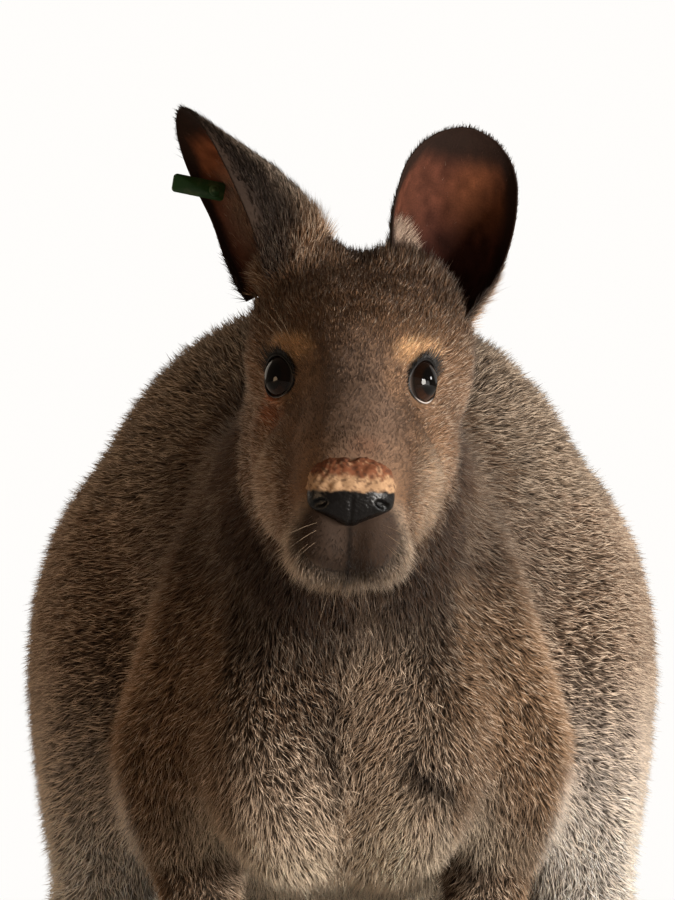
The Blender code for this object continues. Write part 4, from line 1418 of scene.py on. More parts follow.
def scatter(fields: Fields, triangles: Array, thinning: Array, seed: int) -> Fields:
    """Sets roots over a surface, one for each square of the local spacing.

    A triangle takes its area divided by the square of the spacing, rounded up or down at
    random. Places in it come from an additive sequence, folded into the triangle.

    Args:
        fields: those of the skin.
        triangles: three vertices per row.
        thinning: the share of roots kept, for each vertex.
        seed: picks the roundings.

    Returns:
        The fields at each root.
    """
    random = np.random.default_rng(seed)
    corner = fields.points[triangles]
    area = np.linalg.norm(np.cross(corner[:, 1] - corner[:, 0], corner[:, 2] - corner[:, 0]), axis=1) / 2.0
    spacing = fields.spacing[triangles].mean(axis=1)
    wanted = area / spacing**2 * thinning[triangles].mean(axis=1)
    counts = np.floor(wanted + random.random(len(wanted))).astype(int)
    chosen = np.repeat(triangles, counts, axis=0)
    index = np.arange(len(chosen))
    first = (index * 0.7548776662 + 0.13) % 1.0
    second = (index * 0.569840291 + 0.41) % 1.0
    folded = first + second > 1.0
    first = np.where(folded, 1.0 - first, first)
    second = np.where(folded, 1.0 - second, second)
    return fields.take(np.stack([first, second, 1.0 - first - second], axis=1), chosen)


def unrolled(points: Array, normals: Array) -> Array:
    """Places on a part's skin unrolled round the part's longest axis.

    The first number is the angle round the axis, of the place and of its normal together, and
    the second is the distance along it.

    Args:
        points: the places.
        normals: the normals there.

    Returns:
        A place within the unit square for each.
    """
    centre = points.mean(axis=0)
    _, _, axes = np.linalg.svd((points - centre)[:: max(1, len(points) // 3000)], full_matrices=False)
    long, wide, deep = axes
    flat = np.stack([wide, deep], 1)
    out = unit((points - centre) @ flat) + 0.5 * normals @ flat
    angle = np.arctan2(out[:, 1], out[:, 0]) / (2.0 * math.pi) + 0.5
    along = (points - centre) @ long
    along = (along - along.min()) / np.ptp(along)
    return 0.01 + 0.98 * np.stack([angle, along], axis=1)


GRIZZLE = {Part.NECK: 0.18, Part.ARM: 0.24, Part.CHEST: 0.42, Part.LOIN: 0.42, Part.THIGH: 0.52}
GRIZZLE_ELSEWHERE = 0.45
SPIKE = np.array([(0, 1, 3), (1, 2, 3), (2, 0, 3), (0, 2, 1)])


@dataclass(frozen=True)
class TuftShape:
    """A tuft of a few hairs: a thin three-sided spike."""

    ridge: float = 0.45
    rooted: float = 0.0004
    patch: float = 0.003
    clump: float = 0.0042
    gather: float = 0.3
    floor_gap: float = 0.0004

    def mesh(self, name: str, roots: Fields, seed: int) -> Mesh:
        """The joined spikes on all roots.

        A spike starts on a triangle of left, ridge and right corners across its own direction,
        which is the lie of the coat turned by chance and by clouds, and lifted off the skin. The
        fourth point is its tip.

        Args:
            name: the mesh's name.
            roots: the fields at each root.
            seed: picks how each spike differs.

        Returns:
            The mesh, with its colours and its bake map.
        """
        random = np.random.default_rng(seed)
        count = len(roots.points)
        swirl = waves(roots.points, 0.03, 5, 2) * 0.9 + random.normal(size=count) * 0.6
        turn = (swirl * roots.unruly)[:, None]
        beside = np.cross(roots.flow, roots.normals)
        heading = unit(roots.flow * np.cos(turn) + beside * np.sin(turn))
        lift = (roots.lift * (1.0 + 0.3 * random.normal(size=count)).clip(0.35, 1.9))[:, None]
        length = (roots.length * (1.0 + 0.22 * random.normal(size=count)).clip(0.45, 1.6))[:, None]
        width = (roots.width * random.uniform(0.75, 1.3, count))[:, None]
        rise = unit(heading * np.cos(lift) + roots.normals * np.sin(lift))
        across = unit(np.cross(rise, roots.normals))
        base = roots.points - roots.normals * self.rooted
        ridge = base + np.cross(across, rise) * width * self.ridge
        tip = self.gathered(roots.points, base + rise * length)
        points = np.stack([base - across * width / 2.0, ridge, base + across * width / 2.0, tip], axis=1)
        points[..., 2] = np.maximum(points[..., 2], self.floor_gap)
        faces = (np.arange(count) * 4)[:, None, None] + SPIKE[None]
        mesh = new_mesh(name, points.reshape(-1, 3), faces.reshape(-1, 3))
        own, tip_colour = self.colours(roots, random)
        write_colours(mesh, np.repeat(own, 4, axis=0))
        write_colours(mesh, np.repeat(tip_colour, 4, axis=0), TIP_ATTRIBUTE)
        # short hair starts further along, so it has less painted shade at its root
        short = 0.55 * fall(roots.length, 0.003, 0.007)[:, None]
        along = short + (1.0 - short) * np.asarray((0.0, 0.0, 0.0, 1.0))
        write_values(mesh, along.ravel(), ALONG_ATTRIBUTE)
        self.bake_map(mesh, roots)
        return mesh

    def gathered(self, roots: Array, tips: Array) -> Array:
        """Draws tips together in clumps, each a wavy cell of the space round the roots.

        Args:
            roots: where each tuft starts.
            tips: where it ends.

        Returns:
            The tips, each drawn a share of the way to its clump's middle.
        """
        wave = np.stack([waves(roots, 0.011, seed, 2) for seed in (61, 62, 63)], axis=1)
        cell = np.floor(roots / self.clump + wave * 0.9).astype(np.int64)
        key = (cell[:, 0] * 73856093) ^ (cell[:, 1] * 19349663) ^ (cell[:, 2] * 83492791)
        _, index = np.unique(key, return_inverse=True)
        sums = np.stack([np.bincount(index, tips[:, axis]) for axis in range(3)], axis=1)
        middle = sums / np.bincount(index)[:, None]
        return tips + (middle[index] - tips) * self.gather

    @staticmethod
    def colours(roots: Fields, random: np.random.Generator) -> Tuple[Array, Array]:
        """Each spike's colours: its tip is pale on most of the body's hairs and dark on some.

        Args:
            roots: the fields at each root.
            random: where chance comes from.

        Returns:
            The colour of each spike's shaft, and that of its tip.
        """
        count = len(roots.points)
        own = MARKINGS.colour(roots) * (1.0 + 0.2 * random.normal(size=(count, 1))).clip(0.4, 1.8)
        bright = own.mean(axis=1, keepdims=True)
        pale = np.asarray(MARKINGS.palette.tip) * (bright / 0.12).clip(0.05, 1.2)
        chance = random.random(count)[:, None]
        share = np.array([GRIZZLE.get(part, GRIZZLE_ELSEWHERE) for part in PARTS])[roots.part]
        plain = 1.0 - (share * ramp(roots.length, 0.0035, 0.007))[:, None]
        tip = np.where(chance > plain, own * 0.45 + pale * 0.8, np.where(chance < 0.2, own * 0.7, own * 1.25))
        return np.clip(own, 0.0, 0.9), np.clip(tip, 0.0, 0.9)

    def bake_map(self, mesh: Mesh, roots: Fields) -> None:
        """Gives each spike a small patch at its root's place on the part's unrolled skin.

        Args:
            mesh: The mesh of the spikes.
            roots: Where the spikes stand, in the order of the mesh.
        """
        half = self.patch / 2.0
        offsets = np.array([(-half, -half), (0.0, -half * 0.7), (half, -half), (0.0, half)])
        corners = unrolled(roots.points, roots.normals)[:, None, :] + offsets[None]
        values = corners[:, SPIKE.ravel(), :].reshape(-1, 2)
        layer = mesh.uv_layers.new(name=BAKE_MAP)
        layer.uv.foreach_set("vector", np.ascontiguousarray(values, np.float32).ravel())


@dataclass
class Coat:
    """The fur: a joined mesh of tufts for each part of the body."""

    skin: Skin
    shape: TuftShape = field(default_factory=TuftShape)
    face_end: float = 0.012

    def build(self) -> List[Piece]:
        """Makes the coat's pieces.

        Returns:
            The pieces, in the order of the plan.
        """
        pieces = []
        fields = self.skin.fields
        triangles = read_triangles(self.skin.piece.data)
        first = triangles[:, 0]
        behind_face = HEAD.to_head(fields.points[first])[:, 1] - self.face_end
        keep = self.covered(fields)
        for number, (name, parts, sign, front, slot) in enumerate(self.plan()):
            wanted = fields.on(*parts)[first]
            if sign:
                wanted &= fields.points[first, 0] * sign > 0.0
            if front:
                wanted &= behind_face * front < 0.0
            roots = self.clear(scatter(fields, triangles[wanted], keep, 100 + number))
            made = self.shape.mesh(name, roots, 200 + number)
            pieces.append(new_piece(name, made, smooth=False))
        return pieces

    @staticmethod
    def plan() -> List[Tuple[str, Tuple[Part, ...], int, int, Slot]]:
        """How the coat is divided.

        Returns:
            Each piece's name, parts, sign of x or 0, face 1 or crown -1 or neither 0, and slot.
        """
        trunk = (
            ("face", Part.HEAD, 0, 1),
            ("crown", Part.HEAD, 0, -1),
            ("neck", Part.NECK, 0, 0),
            ("chest_left", Part.CHEST, 1, 0),
            ("chest_right", Part.CHEST, -1, 0),
            ("back", Part.LOIN, 0, 0),
            ("rump", Part.RUMP, 0, 0),
            ("tail", Part.TAIL, 0, 0),
        )
        plan = [(f"coat_{name}", (part,), sign, front, Slot.BODY_FUR) for name, part, sign, front in trunk]
        limbs = (
            ("arm", (Part.ARM,), Slot.BODY_FUR),
            ("forearm", (Part.FOREARM, Part.HAND), Slot.DARK_FUR),
            ("thigh", (Part.THIGH,), Slot.BODY_FUR),
            ("leg", (Part.SHANK, Part.FOOT), Slot.DARK_FUR),
            ("ear", (Part.EAR,), Slot.DARK_FUR),
        )
        for way in Side:
            plan += [(f"coat_{limb}_{way.word}", parts, way.value, 0, slot) for limb, parts, slot in limbs]
        return plan

    @staticmethod
    def covered(fields: Fields) -> Array:
        """The share of hair kept: none on the soles, nose and eyeballs, and little inside the ears.

        Args:
            fields: those of the skin.

        Returns:
            A share for each vertex.
        """
        keep = 1.0 - ramp(-fields.normals[:, 2], 0.6, 0.9) * (fields.points[:, 2] < 0.004)
        inside = HEAD.to_head(fields.points)
        low, high = (np.array(corner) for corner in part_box("nose"))
        keep *= 1.0 - spot(fields.points, (low + high) / 2.0, (high - low) / 2.0, 0.06)
        for side in Side:
            _, share = EyeOpening(side).place(inside)
            near = HEAD.from_eye(inside, side) < HEAD.eye_radius + 0.003
            keep *= np.where(near, ramp(share, 1.02, 1.08), 1.0)
        fringe = ramp(np.degrees(fields.lift), 12.0, 20.0)
        on_ear = np.where(fields.local[:, 2] < -0.5, 0.55 + 0.45 * fringe, 1.0)
        return np.where(fields.on(Part.EAR), on_ear, keep)

    @staticmethod
    def clear(roots: Fields) -> Fields:
        """Leaves out the roots whose hair would cross an eye, tried at three places along it.

        Args:
            roots: the fields at each root.

        Returns:
            Those of the roots that are kept.
        """
        keep = np.ones(len(roots.points), bool)
        for share in (0.35, 0.7, 1.0):
            inside = HEAD.to_head(roots.points + roots.flow * (roots.length * share)[:, None])
            for side in Side:
                _, place = EyeOpening(side).place(inside)
                keep &= (HEAD.from_eye(inside, side) > HEAD.eye_radius + 0.004) | (place > 1.02)
        return roots.chosen(keep)


# ---- eyes and lids


@dataclass(frozen=True)
class Eyeball:
    """A glossy ball with a dark brown iris and a wide pupil, its pole on the eye's axis."""

    side: Side
    rings: int = 48
    sides: int = 64
    inset: float = 0.0003
    bulge: float = 0.0007
    iris_edge: float = 0.86
    pupil_edge: float = 0.52
    pupil: Colour = srgb(6, 5, 5)
    iris: Colour = srgb(34, 19, 11)
    iris_rim: Colour = srgb(14, 9, 7)
    white: Colour = srgb(96, 84, 78)

    def build(self) -> Piece:
        """Makes the ball, fuller over the iris, in the eyeball node's place.

        Returns:
            The ball.
        """
        out, back, up = EyeOpening(self.side).axes
        angle = np.linspace(0.02, math.pi - 0.02, self.rings)[:, None]
        turn = circle(self.sides)
        beside = (np.cos(turn)[:, None] * back + np.sin(turn)[:, None] * up)[None]
        ways = np.cos(angle)[..., None] * out + np.sin(angle)[..., None] * beside
        radius = HEAD.eye_radius - self.inset + self.bulge * fall(angle, 0.3, 0.9)
        points, faces = tube(HEAD.to_world(HEAD.eye_middle(self.side) + ways * radius[..., None]))
        piece = solid(f"eyeball_{self.side.word}", points, faces)
        angles = np.concatenate([np.repeat(angle[:, 0], self.sides), [0.0, math.pi]])
        turns = np.concatenate([np.tile(turn, self.rings), [0.0, 0.0]])
        write_colours(piece.data, self.colours(angles, turns))
        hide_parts(f"eye_{self.side.word}")
        return piece

    def colours(self, angle: Array, turn: Array) -> Array:
        """Black in the pupil, dark brown in the iris, lighter low down as painted light, and a dull white
        beyond it.

        Args:
            angle: the angle of each place from the eye's axis.
            turn: its turn round the axis.

        Returns:
            A linear colour for each place.
        """
        # painted light: the iris is lighter low down
        low = ramp(-np.sin(turn), 0.1, 0.9)
        rays = 1.0 + 0.25 * np.sin(turn * 23.0) * np.sin(turn * 41.0 + 1.0)
        iris = np.asarray(self.iris) * (0.5 + 1.2 * low)[:, None] * rays[:, None]
        share = ramp(angle, self.pupil_edge - 0.06, self.pupil_edge + 0.06)[:, None]
        own = np.asarray(self.pupil) * (1.0 - share) + iris * share
        own = blend(own, self.iris_rim, ramp(angle, self.iris_edge - 0.12, self.iris_edge - 0.02))
        return blend(own, self.white, ramp(angle, self.iris_edge, self.iris_edge + 0.06))


@dataclass(frozen=True)
class Lid:
    """The bare rim round an eye's opening: dark above, with a pale edge below that is a painted glint of wet
    skin.
    """

    side: Side
    around: int = 128
    sides: int = 12
    breadth: float = 0.00052
    height: float = 0.00034
    dark: Colour = srgb(12, 9, 8)
    # painted highlight: the glint on the wet lower edge
    wet: Colour = srgb(200, 190, 184)

    def build(self) -> Piece:
        """Makes the rim as a ring-shaped solid along the opening's edge.

        Each section is an ellipse across the ring's line. It is thicker above and at the
        corners, where the rim runs out into a point.

        Returns:
            The rim.
        """
        ways, turn = EyeOpening(self.side).edge(self.around)
        beside = np.roll(ways, -1, axis=0) - np.roll(ways, 1, axis=0)
        away = unit(np.cross(unit(beside), ways))
        above = ramp(np.sin(turn), -0.2, 0.5)
        corner = np.abs(np.cos(turn)) ** 6
        breadth = self.breadth * (0.75 + 0.55 * above + 0.6 * corner)
        height = self.height * (1.0 + 0.3 * above)
        middle = HEAD.eye_middle(self.side) + ways * (HEAD.eye_radius + 0.0004) + away * 0.0002
        section = circle(self.sides)
        wide = (np.cos(section)[None] * breadth[:, None])[..., None]
        high = (np.sin(section)[None] * height[:, None])[..., None]
        points, faces = ribbon(middle[:, None] + (away[:, None] * wide + ways[:, None] * high))
        piece = solid(f"lid_{self.side.word}", HEAD.to_world(points), faces)
        # painted highlight: the wet glint along the inner side of the lowest edge
        inner = np.tile(ramp(-np.cos(section), -0.2, 0.6), self.around)
        lowest = fall(np.sin(turn), -0.9, -0.5) * fall(np.cos(turn), 0.15, 0.6)
        wet_glint = 0.85 * inner * np.repeat(lowest, self.sides)
        write_colours(piece.data, blend(np.tile(self.dark, (len(points), 1)), self.wet, wet_glint))
        return piece


# ---- nose


@dataclass(frozen=True)
class NosePad:
    """The bare pad: black and pebbled, with a nostril each side and a worn, scabbed top."""

    centre: Place = (0.0, -0.069, -0.0455)
    radii: Place = (0.0176, 0.014, 0.0142)
    rings: int = 120
    sides: int = 160
    squareness: float = 2.6
    nostril: Place = (0.0128, -0.079, -0.0508)
    front: float = -0.066
    black: Colour = srgb(13, 11, 11)
    tan: Colour = srgb(164, 130, 98)
    scab: Colour = srgb(112, 66, 42)
    flake: Colour = srgb(206, 168, 130)
    crack: Colour = srgb(70, 44, 32)
    # painted shade deep in the nostrils
    hollow: Colour = srgb(3, 3, 3)

    def build(self) -> Piece:
        """Makes the pad in the head's frame and moves it to the world, in the nose node's place.

        It starts as an ellipsoid, squared a little. Below its middle it narrows towards a point.

        Returns:
            The pad.
        """
        angle = np.linspace(0.03, math.pi - 0.03, self.rings)[:, None]
        turn = circle(self.sides)[None]
        ways = (np.sin(angle) * np.cos(turn), np.sin(angle) * np.sin(turn), np.cos(angle))
        ways = np.stack(np.broadcast_arrays(*ways), axis=-1).reshape(-1, 3)
        sums = (np.abs(ways) ** self.squareness).sum(axis=1, keepdims=True)
        squared = ways / sums ** (1.0 / self.squareness)
        shape = squared * np.asarray(self.radii)
        shape[:, 0] *= 1.0 - 0.85 * ramp(-shape[:, 2], 0.006, 0.016)
        points = self.carved(shape + np.asarray(self.centre), unit(squared / np.asarray(self.radii)))
        ends, faces = tube(HEAD.to_world(points).reshape(self.rings, self.sides, 3))
        piece = solid("nose_pad", ends, faces)
        inside = HEAD.to_head(ends)
        write_colours(piece.data, self.colours(inside))
        write_values(piece.data, self.crust(inside), CRUST_ATTRIBUTE)
        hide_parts("nose")
        return piece

    def crust(self, inside: Array) -> Array:
        """How scabbed each place is: 1 on the pad's top and its tan band, 0 on the black."""
        ragged = waves(inside, 0.01, 21) * 0.001
        return ramp(inside[:, 2] + ragged, -0.0462, -0.0448)

    def carved(self, points: Array, normals: Array) -> Array:
        """The pad with its details.

        Each nostril is a comma-shaped dent that opens out and back, with a raised rim above, and
        a groove runs down the middle. Pebbles and crust are small waves along the normals.

        Args:
            points: the smooth pad's places, in the head's frame.
            normals: its normals.

        Returns:
            The places moved along their normals.
        """
        lie = mirrored(points) - np.asarray(self.nostril)
        slit = np.hypot(lie[:, 0] / 0.0032, (lie[:, 2] + 0.25 * lie[:, 0]) / 0.002)
        in_front = points[:, 1] < self.front
        dent = fall(slit, 0.45, 1.15) * in_front
        rim = hump(slit - 1.5, 0.35) * (lie[:, 2] > -0.001) * in_front
        groove = hump(points[:, 0], 0.0008) * ramp(-points[:, 2], 0.046, 0.051)
        pebbles = waves(points, 0.0022, 31, 2) * 0.00016
        crust = self.crust(points)
        lumps = waves(points, 0.012, 33, 3) * 0.0006 + waves(points, 0.0032, 34, 2) * 0.00016 + 0.0002
        height = pebbles * (1.0 - crust) + lumps * crust - 0.0022 * dent + 0.00008 * rim - 0.0006 * groove
        return points + normals * height[:, None]

    def colours(self, inside: Array) -> Array:
        """Black leather below, a tan scab band over it, a red-brown scab on top, and painted shade deep in
        the nostrils.

        Args:
            inside: places in the head's frame.

        Returns:
            A linear colour for each place.
        """
        crust = self.crust(inside)
        top = ramp(inside[:, 2] + 0.0016 * waves(inside, 0.008, 35), -0.041, -0.038)
        own = blend(np.tile(self.black, (len(inside), 1)), self.tan, crust)
        own = blend(own, self.scab, crust * top)
        own = blend(own, self.flake, crust * 0.3 * ramp(waves(inside, 0.009, 37), 0.15, 0.5))
        own = blend(own, self.crack, crust * 0.65 * ramp(waves(inside, 0.005, 39), 0.05, 0.45))
        # painted shade deep in each nostril
        depth = spot(mirrored(inside), self.nostril, (0.0044, 0.012, 0.003), 0.5)
        return blend(own, self.hollow, 0.9 * depth)


# ---- whiskers and lashes, claws, tag


def hairs(name: str, roots: Array, ways: Array, sag: Array, radius: float) -> Piece:
    """Thin hairs as closed five-sided cones, each bent along a parabola.

    Args:
        name: the piece's name.
        roots: where each starts.
        ways: from each one's root to where it would end if it were straight.
        sag: how far each one's end is drawn from that, as a vector.
        radius: the radius at the root.

    Returns:
        The piece that holds them all.
    """
    count = len(roots)
    share = np.linspace(0.0, 1.0, 6)[None, :, None]
    line = roots[:, None] + ways[:, None] * share + sag[:, None] * share**2
    along = unit(np.gradient(line, axis=1))
    aside = unit(np.cross(along, np.array((0.13, 0.21, 0.97))))
    above = np.cross(along, aside)
    turn = circle(5)[:, None]
    ring = aside[:, :, None] * np.cos(turn) + above[:, :, None] * np.sin(turn)
    rows = line[:, :, None] + ring * (radius * (1.0 - 0.92 * share))[..., None]
    points = np.concatenate([rows.reshape(count, -1, 3), line[:, :1], line[:, -1:]], axis=1)
    _, one = tube(rows[0])
    triangles = one[None] + (np.arange(count) * points.shape[1])[:, None, None]
    mesh = new_mesh(name, points.reshape(-1, 3), triangles.reshape(-1, 3))
    return new_piece(name, mesh)


@dataclass(frozen=True)
class Whiskers:
    """Fine hairs on the upper lip, over the eyes and under the chin."""

    rows: int = 3
    columns: int = 5
    length: float = 0.018
    radius: float = 0.00006
    rooted: float = 0.004
    brow: Tuple[Place, ...] = ((0.027, -0.008, 0.019), (0.03, -0.004, 0.02), (0.033, 0.0000, 0.019))
    brow_ways: Tuple[Place, ...] = ((0.35, -0.6, 0.7), (0.5, -0.45, 0.75), (0.7, -0.3, 0.65))
    brow_length: float = 0.017
    chin: Tuple[Place, ...] = ((0.005, -0.072, -0.09), (0.009, -0.062, -0.092))
    chin_ways: Tuple[Place, ...] = ((0.15, -0.45, -0.9), (0.3, -0.2, -0.95))
    chin_length: float = 0.014

    def build(self) -> Piece:
        """Makes the whiskers of both sides as one piece.

        On each side a block of rows and columns starts on the lip, fans out, back and down, and
        is longest behind. Three more stand over each eye and two on each side of the chin.

        Returns:
            The whiskers.
        """
        random = np.random.default_rng(71)
        row, column = np.meshgrid(np.arange(self.rows), np.arange(self.columns), indexing="ij")
        row = row.ravel() + random.uniform(-0.2, 0.2, row.size)
        column = column.ravel() + random.uniform(-0.2, 0.2, column.size)
        lip = np.stack([0.017 + 0.001 * column, -0.076 + 0.0052 * column, -0.06 - 0.0042 * row], axis=1)
        lip_ways = np.stack([0.75 + 0.05 * row, -0.3 + 0.16 * column, -0.25 - 0.2 * row], axis=1)
        lip_lengths = self.length * (0.55 + 0.11 * column) * random.uniform(0.8, 1.15, row.size)
        roots = np.concatenate([lip, self.brow, self.chin])
        ways = unit(np.concatenate([lip_ways, self.brow_ways, self.chin_ways]))
        lengths = np.concatenate([lip_lengths, [self.brow_length] * 3, [self.chin_length] * 2])
        roots = np.concatenate([roots, roots * (-1.0, 1.0, 1.0)])
        ways = np.concatenate([ways, ways * (-1.0, 1.0, 1.0)])
        lengths = np.concatenate([lengths, lengths * random.uniform(0.85, 1.1, len(lengths))])[:, None]
        start = HEAD.to_world(roots - ways * self.rooted)
        sag = np.array((0.0, 0.0, -0.22)) * lengths
        return hairs("whiskers", start, HEAD.turn(ways) * (lengths + self.rooted), sag, self.radius)


@dataclass(frozen=True)
class Lashes:
    """Short black lashes along the upper lid, longest towards its outer corner."""

    side: Side
    count: int = 60
    length: float = 0.0058
    radius: float = 0.00022

    def build(self) -> Piece:
        """Makes the lashes, which stand out from the lid and curve up and back.

        Returns:
            The lashes of one eye.
        """
        random = np.random.default_rng(72 + self.side.value)
        opening = EyeOpening(self.side)
        _, back, up = opening.axes
        ways, turn = opening.edge(self.count * 2)
        upper = np.sin(turn) > 0.05
        ways = ways[upper]
        outer = ramp(np.cos(turn[upper]), -0.5, 0.9)
        start = HEAD.to_world(HEAD.eye_middle(self.side) + ways * (HEAD.eye_radius + 0.0006))
        heading = ways * 0.75 + up * 0.4 + back * (0.15 + 0.45 * outer[:, None])
        heading = unit(heading + random.normal(size=ways.shape) * 0.1)
        length = (self.length * (0.45 + 0.75 * outer) * random.uniform(0.75, 1.2, len(outer)))[:, None]
        sag = HEAD.turn(np.broadcast_to(up, heading.shape)) * length * 0.25
        return hairs(f"lashes_{self.side.word}", start, HEAD.turn(heading) * length, sag, self.radius)


@dataclass(frozen=True)
class Claws:
    """The hand and toe claws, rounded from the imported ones."""

    levels: int = 2

    def build(self) -> List[Piece]:
        """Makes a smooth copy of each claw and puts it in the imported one's place.

        Returns:
            The claws.
        """
        pieces = []
        for node in sorted(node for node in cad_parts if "claw" in node):
            piece = new_piece(f"{node}_horn", welded(node, f"{node}_horn"))
            rounded = piece.modifiers.new("rounded", "SUBSURF")
            rounded.levels = self.levels
            rounded.render_levels = self.levels
            apply_modifiers(piece)
            piece.data.shade_smooth()
            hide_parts(node)
            pieces.append(piece)
        return pieces


@dataclass(frozen=True)
class EarTag:
    """A plain green plastic tag: a plate with rounded corners, its pin and its back button."""

    size: Place = (0.0015, 0.0225, 0.0078)
    reach: float = 0.01
    height: float = 0.0518
    inset: float = 0.0208
    overlap: float = 0.001
    tilt: float = math.radians(37.0)
    corner: float = 0.0016
    edge: float = 0.0003
    pin_setback: float = 0.0045
    pin_radius: float = 0.0012
    pin_length: float = 0.007
    boss_radius: float = 0.0024
    button_radius: float = 0.0033
    button_depth: float = 0.0012
    button_profile: Tuple[Span, ...] = ((-0.5, 0.85), (-0.25, 1.0), (0.25, 1.0), (0.5, 0.85))

    def build(self) -> Piece:
        """Makes the plate, pin, button and boss as one mesh in the right ear's frame.

        Returns:
            The tag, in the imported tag's place.
        """
        half = self.size[0] / 2.0
        end, thick = -self.pin_length, self.button_depth
        pin = ((end, 0.9), (-half, 1.0), (half + 0.0007, 1.0), (half + 0.001, 0.7))
        button = [(end + thick * place, share) for place, share in self.button_profile]
        boss = ((half - 0.0001, 1.0), (half + 0.0005, 1.0), (half + 0.0007, 0.85))
        round_forms = ((pin, self.pin_radius), (button, self.button_radius), (boss, self.boss_radius))
        forms = [tube(self.plate())] + [tube(self.turned(*form)) for form in round_forms]
        starts = np.cumsum([0] + [len(points) for points, _ in forms])
        faces = np.concatenate([faces + start for (_, faces), start in zip(forms, starts)])
        place = Vector((-self.inset, self.size[1] / 2.0 - self.reach - self.overlap, self.height))
        own = EAR_POSES[Side.RIGHT].matrix @ Matrix.Translation(place) @ Matrix.Rotation(-self.tilt, 4, "X")
        points = moved(np.concatenate([points for points, _ in forms]), own)
        piece = solid("tag_plate", points, faces, smooth=False)
        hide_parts("ear_tag")
        return piece

    def plate(self) -> Array:
        """The plate's outline, rounded at its corners, at four places through its bevelled thickness.

        Returns:
            Four rings of places.
        """
        turn = circle(64)
        corner_y = np.sign(np.cos(turn)) * (self.size[1] / 2.0 - self.corner)
        corner_z = np.sign(np.sin(turn + 1e-6)) * (self.size[2] / 2.0 - self.corner)
        y, z = corner_y + self.corner * np.cos(turn), corner_z + self.corner * np.sin(turn)
        outline = np.column_stack([y, z])
        shrunk = outline * (1.0 - self.edge / np.linalg.norm(outline, axis=1, keepdims=True))
        half = self.size[0] / 2.0
        sections = ((-half, shrunk), (self.edge - half, outline), (half - self.edge, outline), (half, shrunk))
        return np.array([np.column_stack([np.full(len(turn), level), flat]) for level, flat in sections])

    def turned(self, profile: Sequence[Span], radius: float) -> Array:
        """A round form across the plate, on the pin's axis.

        Args:
            profile: places along x, each with its share of the radius.
            radius: the form's radius.

        Returns:
            One ring of places for each section.
        """
        turn = circle(28)
        middle = self.size[1] / 2.0 - self.pin_setback
        y, z = np.cos(turn), np.sin(turn)
        rings = [(np.full(28, x), middle + radius * share * y, radius * share * z) for x, share in profile]
        return np.array([np.column_stack(ring) for ring in rings])


# ---- finishes


# A mix node's share, first and second colour, and result, whose names it has several times.
MIX_INPUTS = (0, 6, 7)
MIX_RESULT = 2


class Nodes:
    """A short way to lay out a material's nodes."""

    def __init__(self, name: str) -> None:
        """Starts a material with a Principled shader.

        Args:
            name: The name of the material.
        """
        self.material = bpy.data.materials.new(name)
        self.material.use_nodes = True
        self.tree = self.material.node_tree
        self.shader = self.tree.nodes["Principled BSDF"]

    def add(self, kind: str, **inputs: object) -> bpy.types.Node:
        """Adds a node.

        Args:
            kind: the node's type.
            inputs: a value or a socket to link for each input, and values for other properties.

        Returns:
            The node.
        """
        node = self.tree.nodes.new(kind)
        for name, value in inputs.items():
            if name not in node.inputs and hasattr(node, name):
                setattr(node, name, value)
            elif isinstance(value, Socket):
                self.tree.links.new(value, node.inputs[name])
            else:
                node.inputs[name].default_value = value
        return node

    def stored(self, name: str = COAT_ATTRIBUTE) -> Socket:
        """The colour that a mesh stores for each vertex."""
        return self.add("ShaderNodeVertexColor", layer_name=name).outputs["Color"]

    def number(self, name: str) -> Socket:
        """The number that a mesh stores for each vertex."""
        return self.add("ShaderNodeAttribute", attribute_name=name).outputs["Fac"]

    def noise(self, scale: Place, detail: float) -> Socket:
        """Cloudy values in space, with so many clouds to the metre along each axis."""
        place = self.add("ShaderNodeTexCoord").outputs["Object"]
        stretched = self.add("ShaderNodeMapping", Vector=place, Scale=scale).outputs["Vector"]
        return self.add("ShaderNodeTexNoise", Vector=stretched, Scale=1.0, Detail=detail).outputs["Fac"]

    def step(self, source: Socket, span: Span, values: Span, smooth: bool = True) -> Socket:
        """A socket's value over a span, turned into one between two others.

        Args:
            source: the socket.
            span: the lowest and highest value that count.
            values: what they become.
            smooth: whether the step is ramp's, or else straight.

        Returns:
            The result's socket.
        """
        kind = "SMOOTHSTEP" if smooth else "LINEAR"
        ends = dict(zip(("From Min", "From Max", "To Min", "To Max"), (*span, *values)))
        return self.add("ShaderNodeMapRange", interpolation_type=kind, Value=source, **ends).outputs["Result"]

    def shaded(self, colour: Socket, share: Socket) -> None:
        """Makes a colour times a share the shader's own."""
        node = self.add("ShaderNodeVectorMath", operation="SCALE", Scale=share)
        self.tree.links.new(colour, node.inputs[0])
        self.link(node.outputs["Vector"], "Base Color")

    def bump(self, height: Socket, strength: float) -> None:
        """Raises the surface by a socket's value."""
        node = self.add("ShaderNodeBump", Height=height, Strength=strength, Distance=0.0003)
        self.link(node.outputs["Normal"], "Normal")

    def link(self, source: Socket, target: str) -> None:
        """Links a socket to one of the shader's inputs."""
        self.tree.links.new(source, self.shader.inputs[target])

    def set(self, **values: object) -> None:
        """Sets plain values on the shader; underscores stand for spaces."""
        for name, value in values.items():
            self.shader.inputs[name.replace("_", " ")].default_value = value


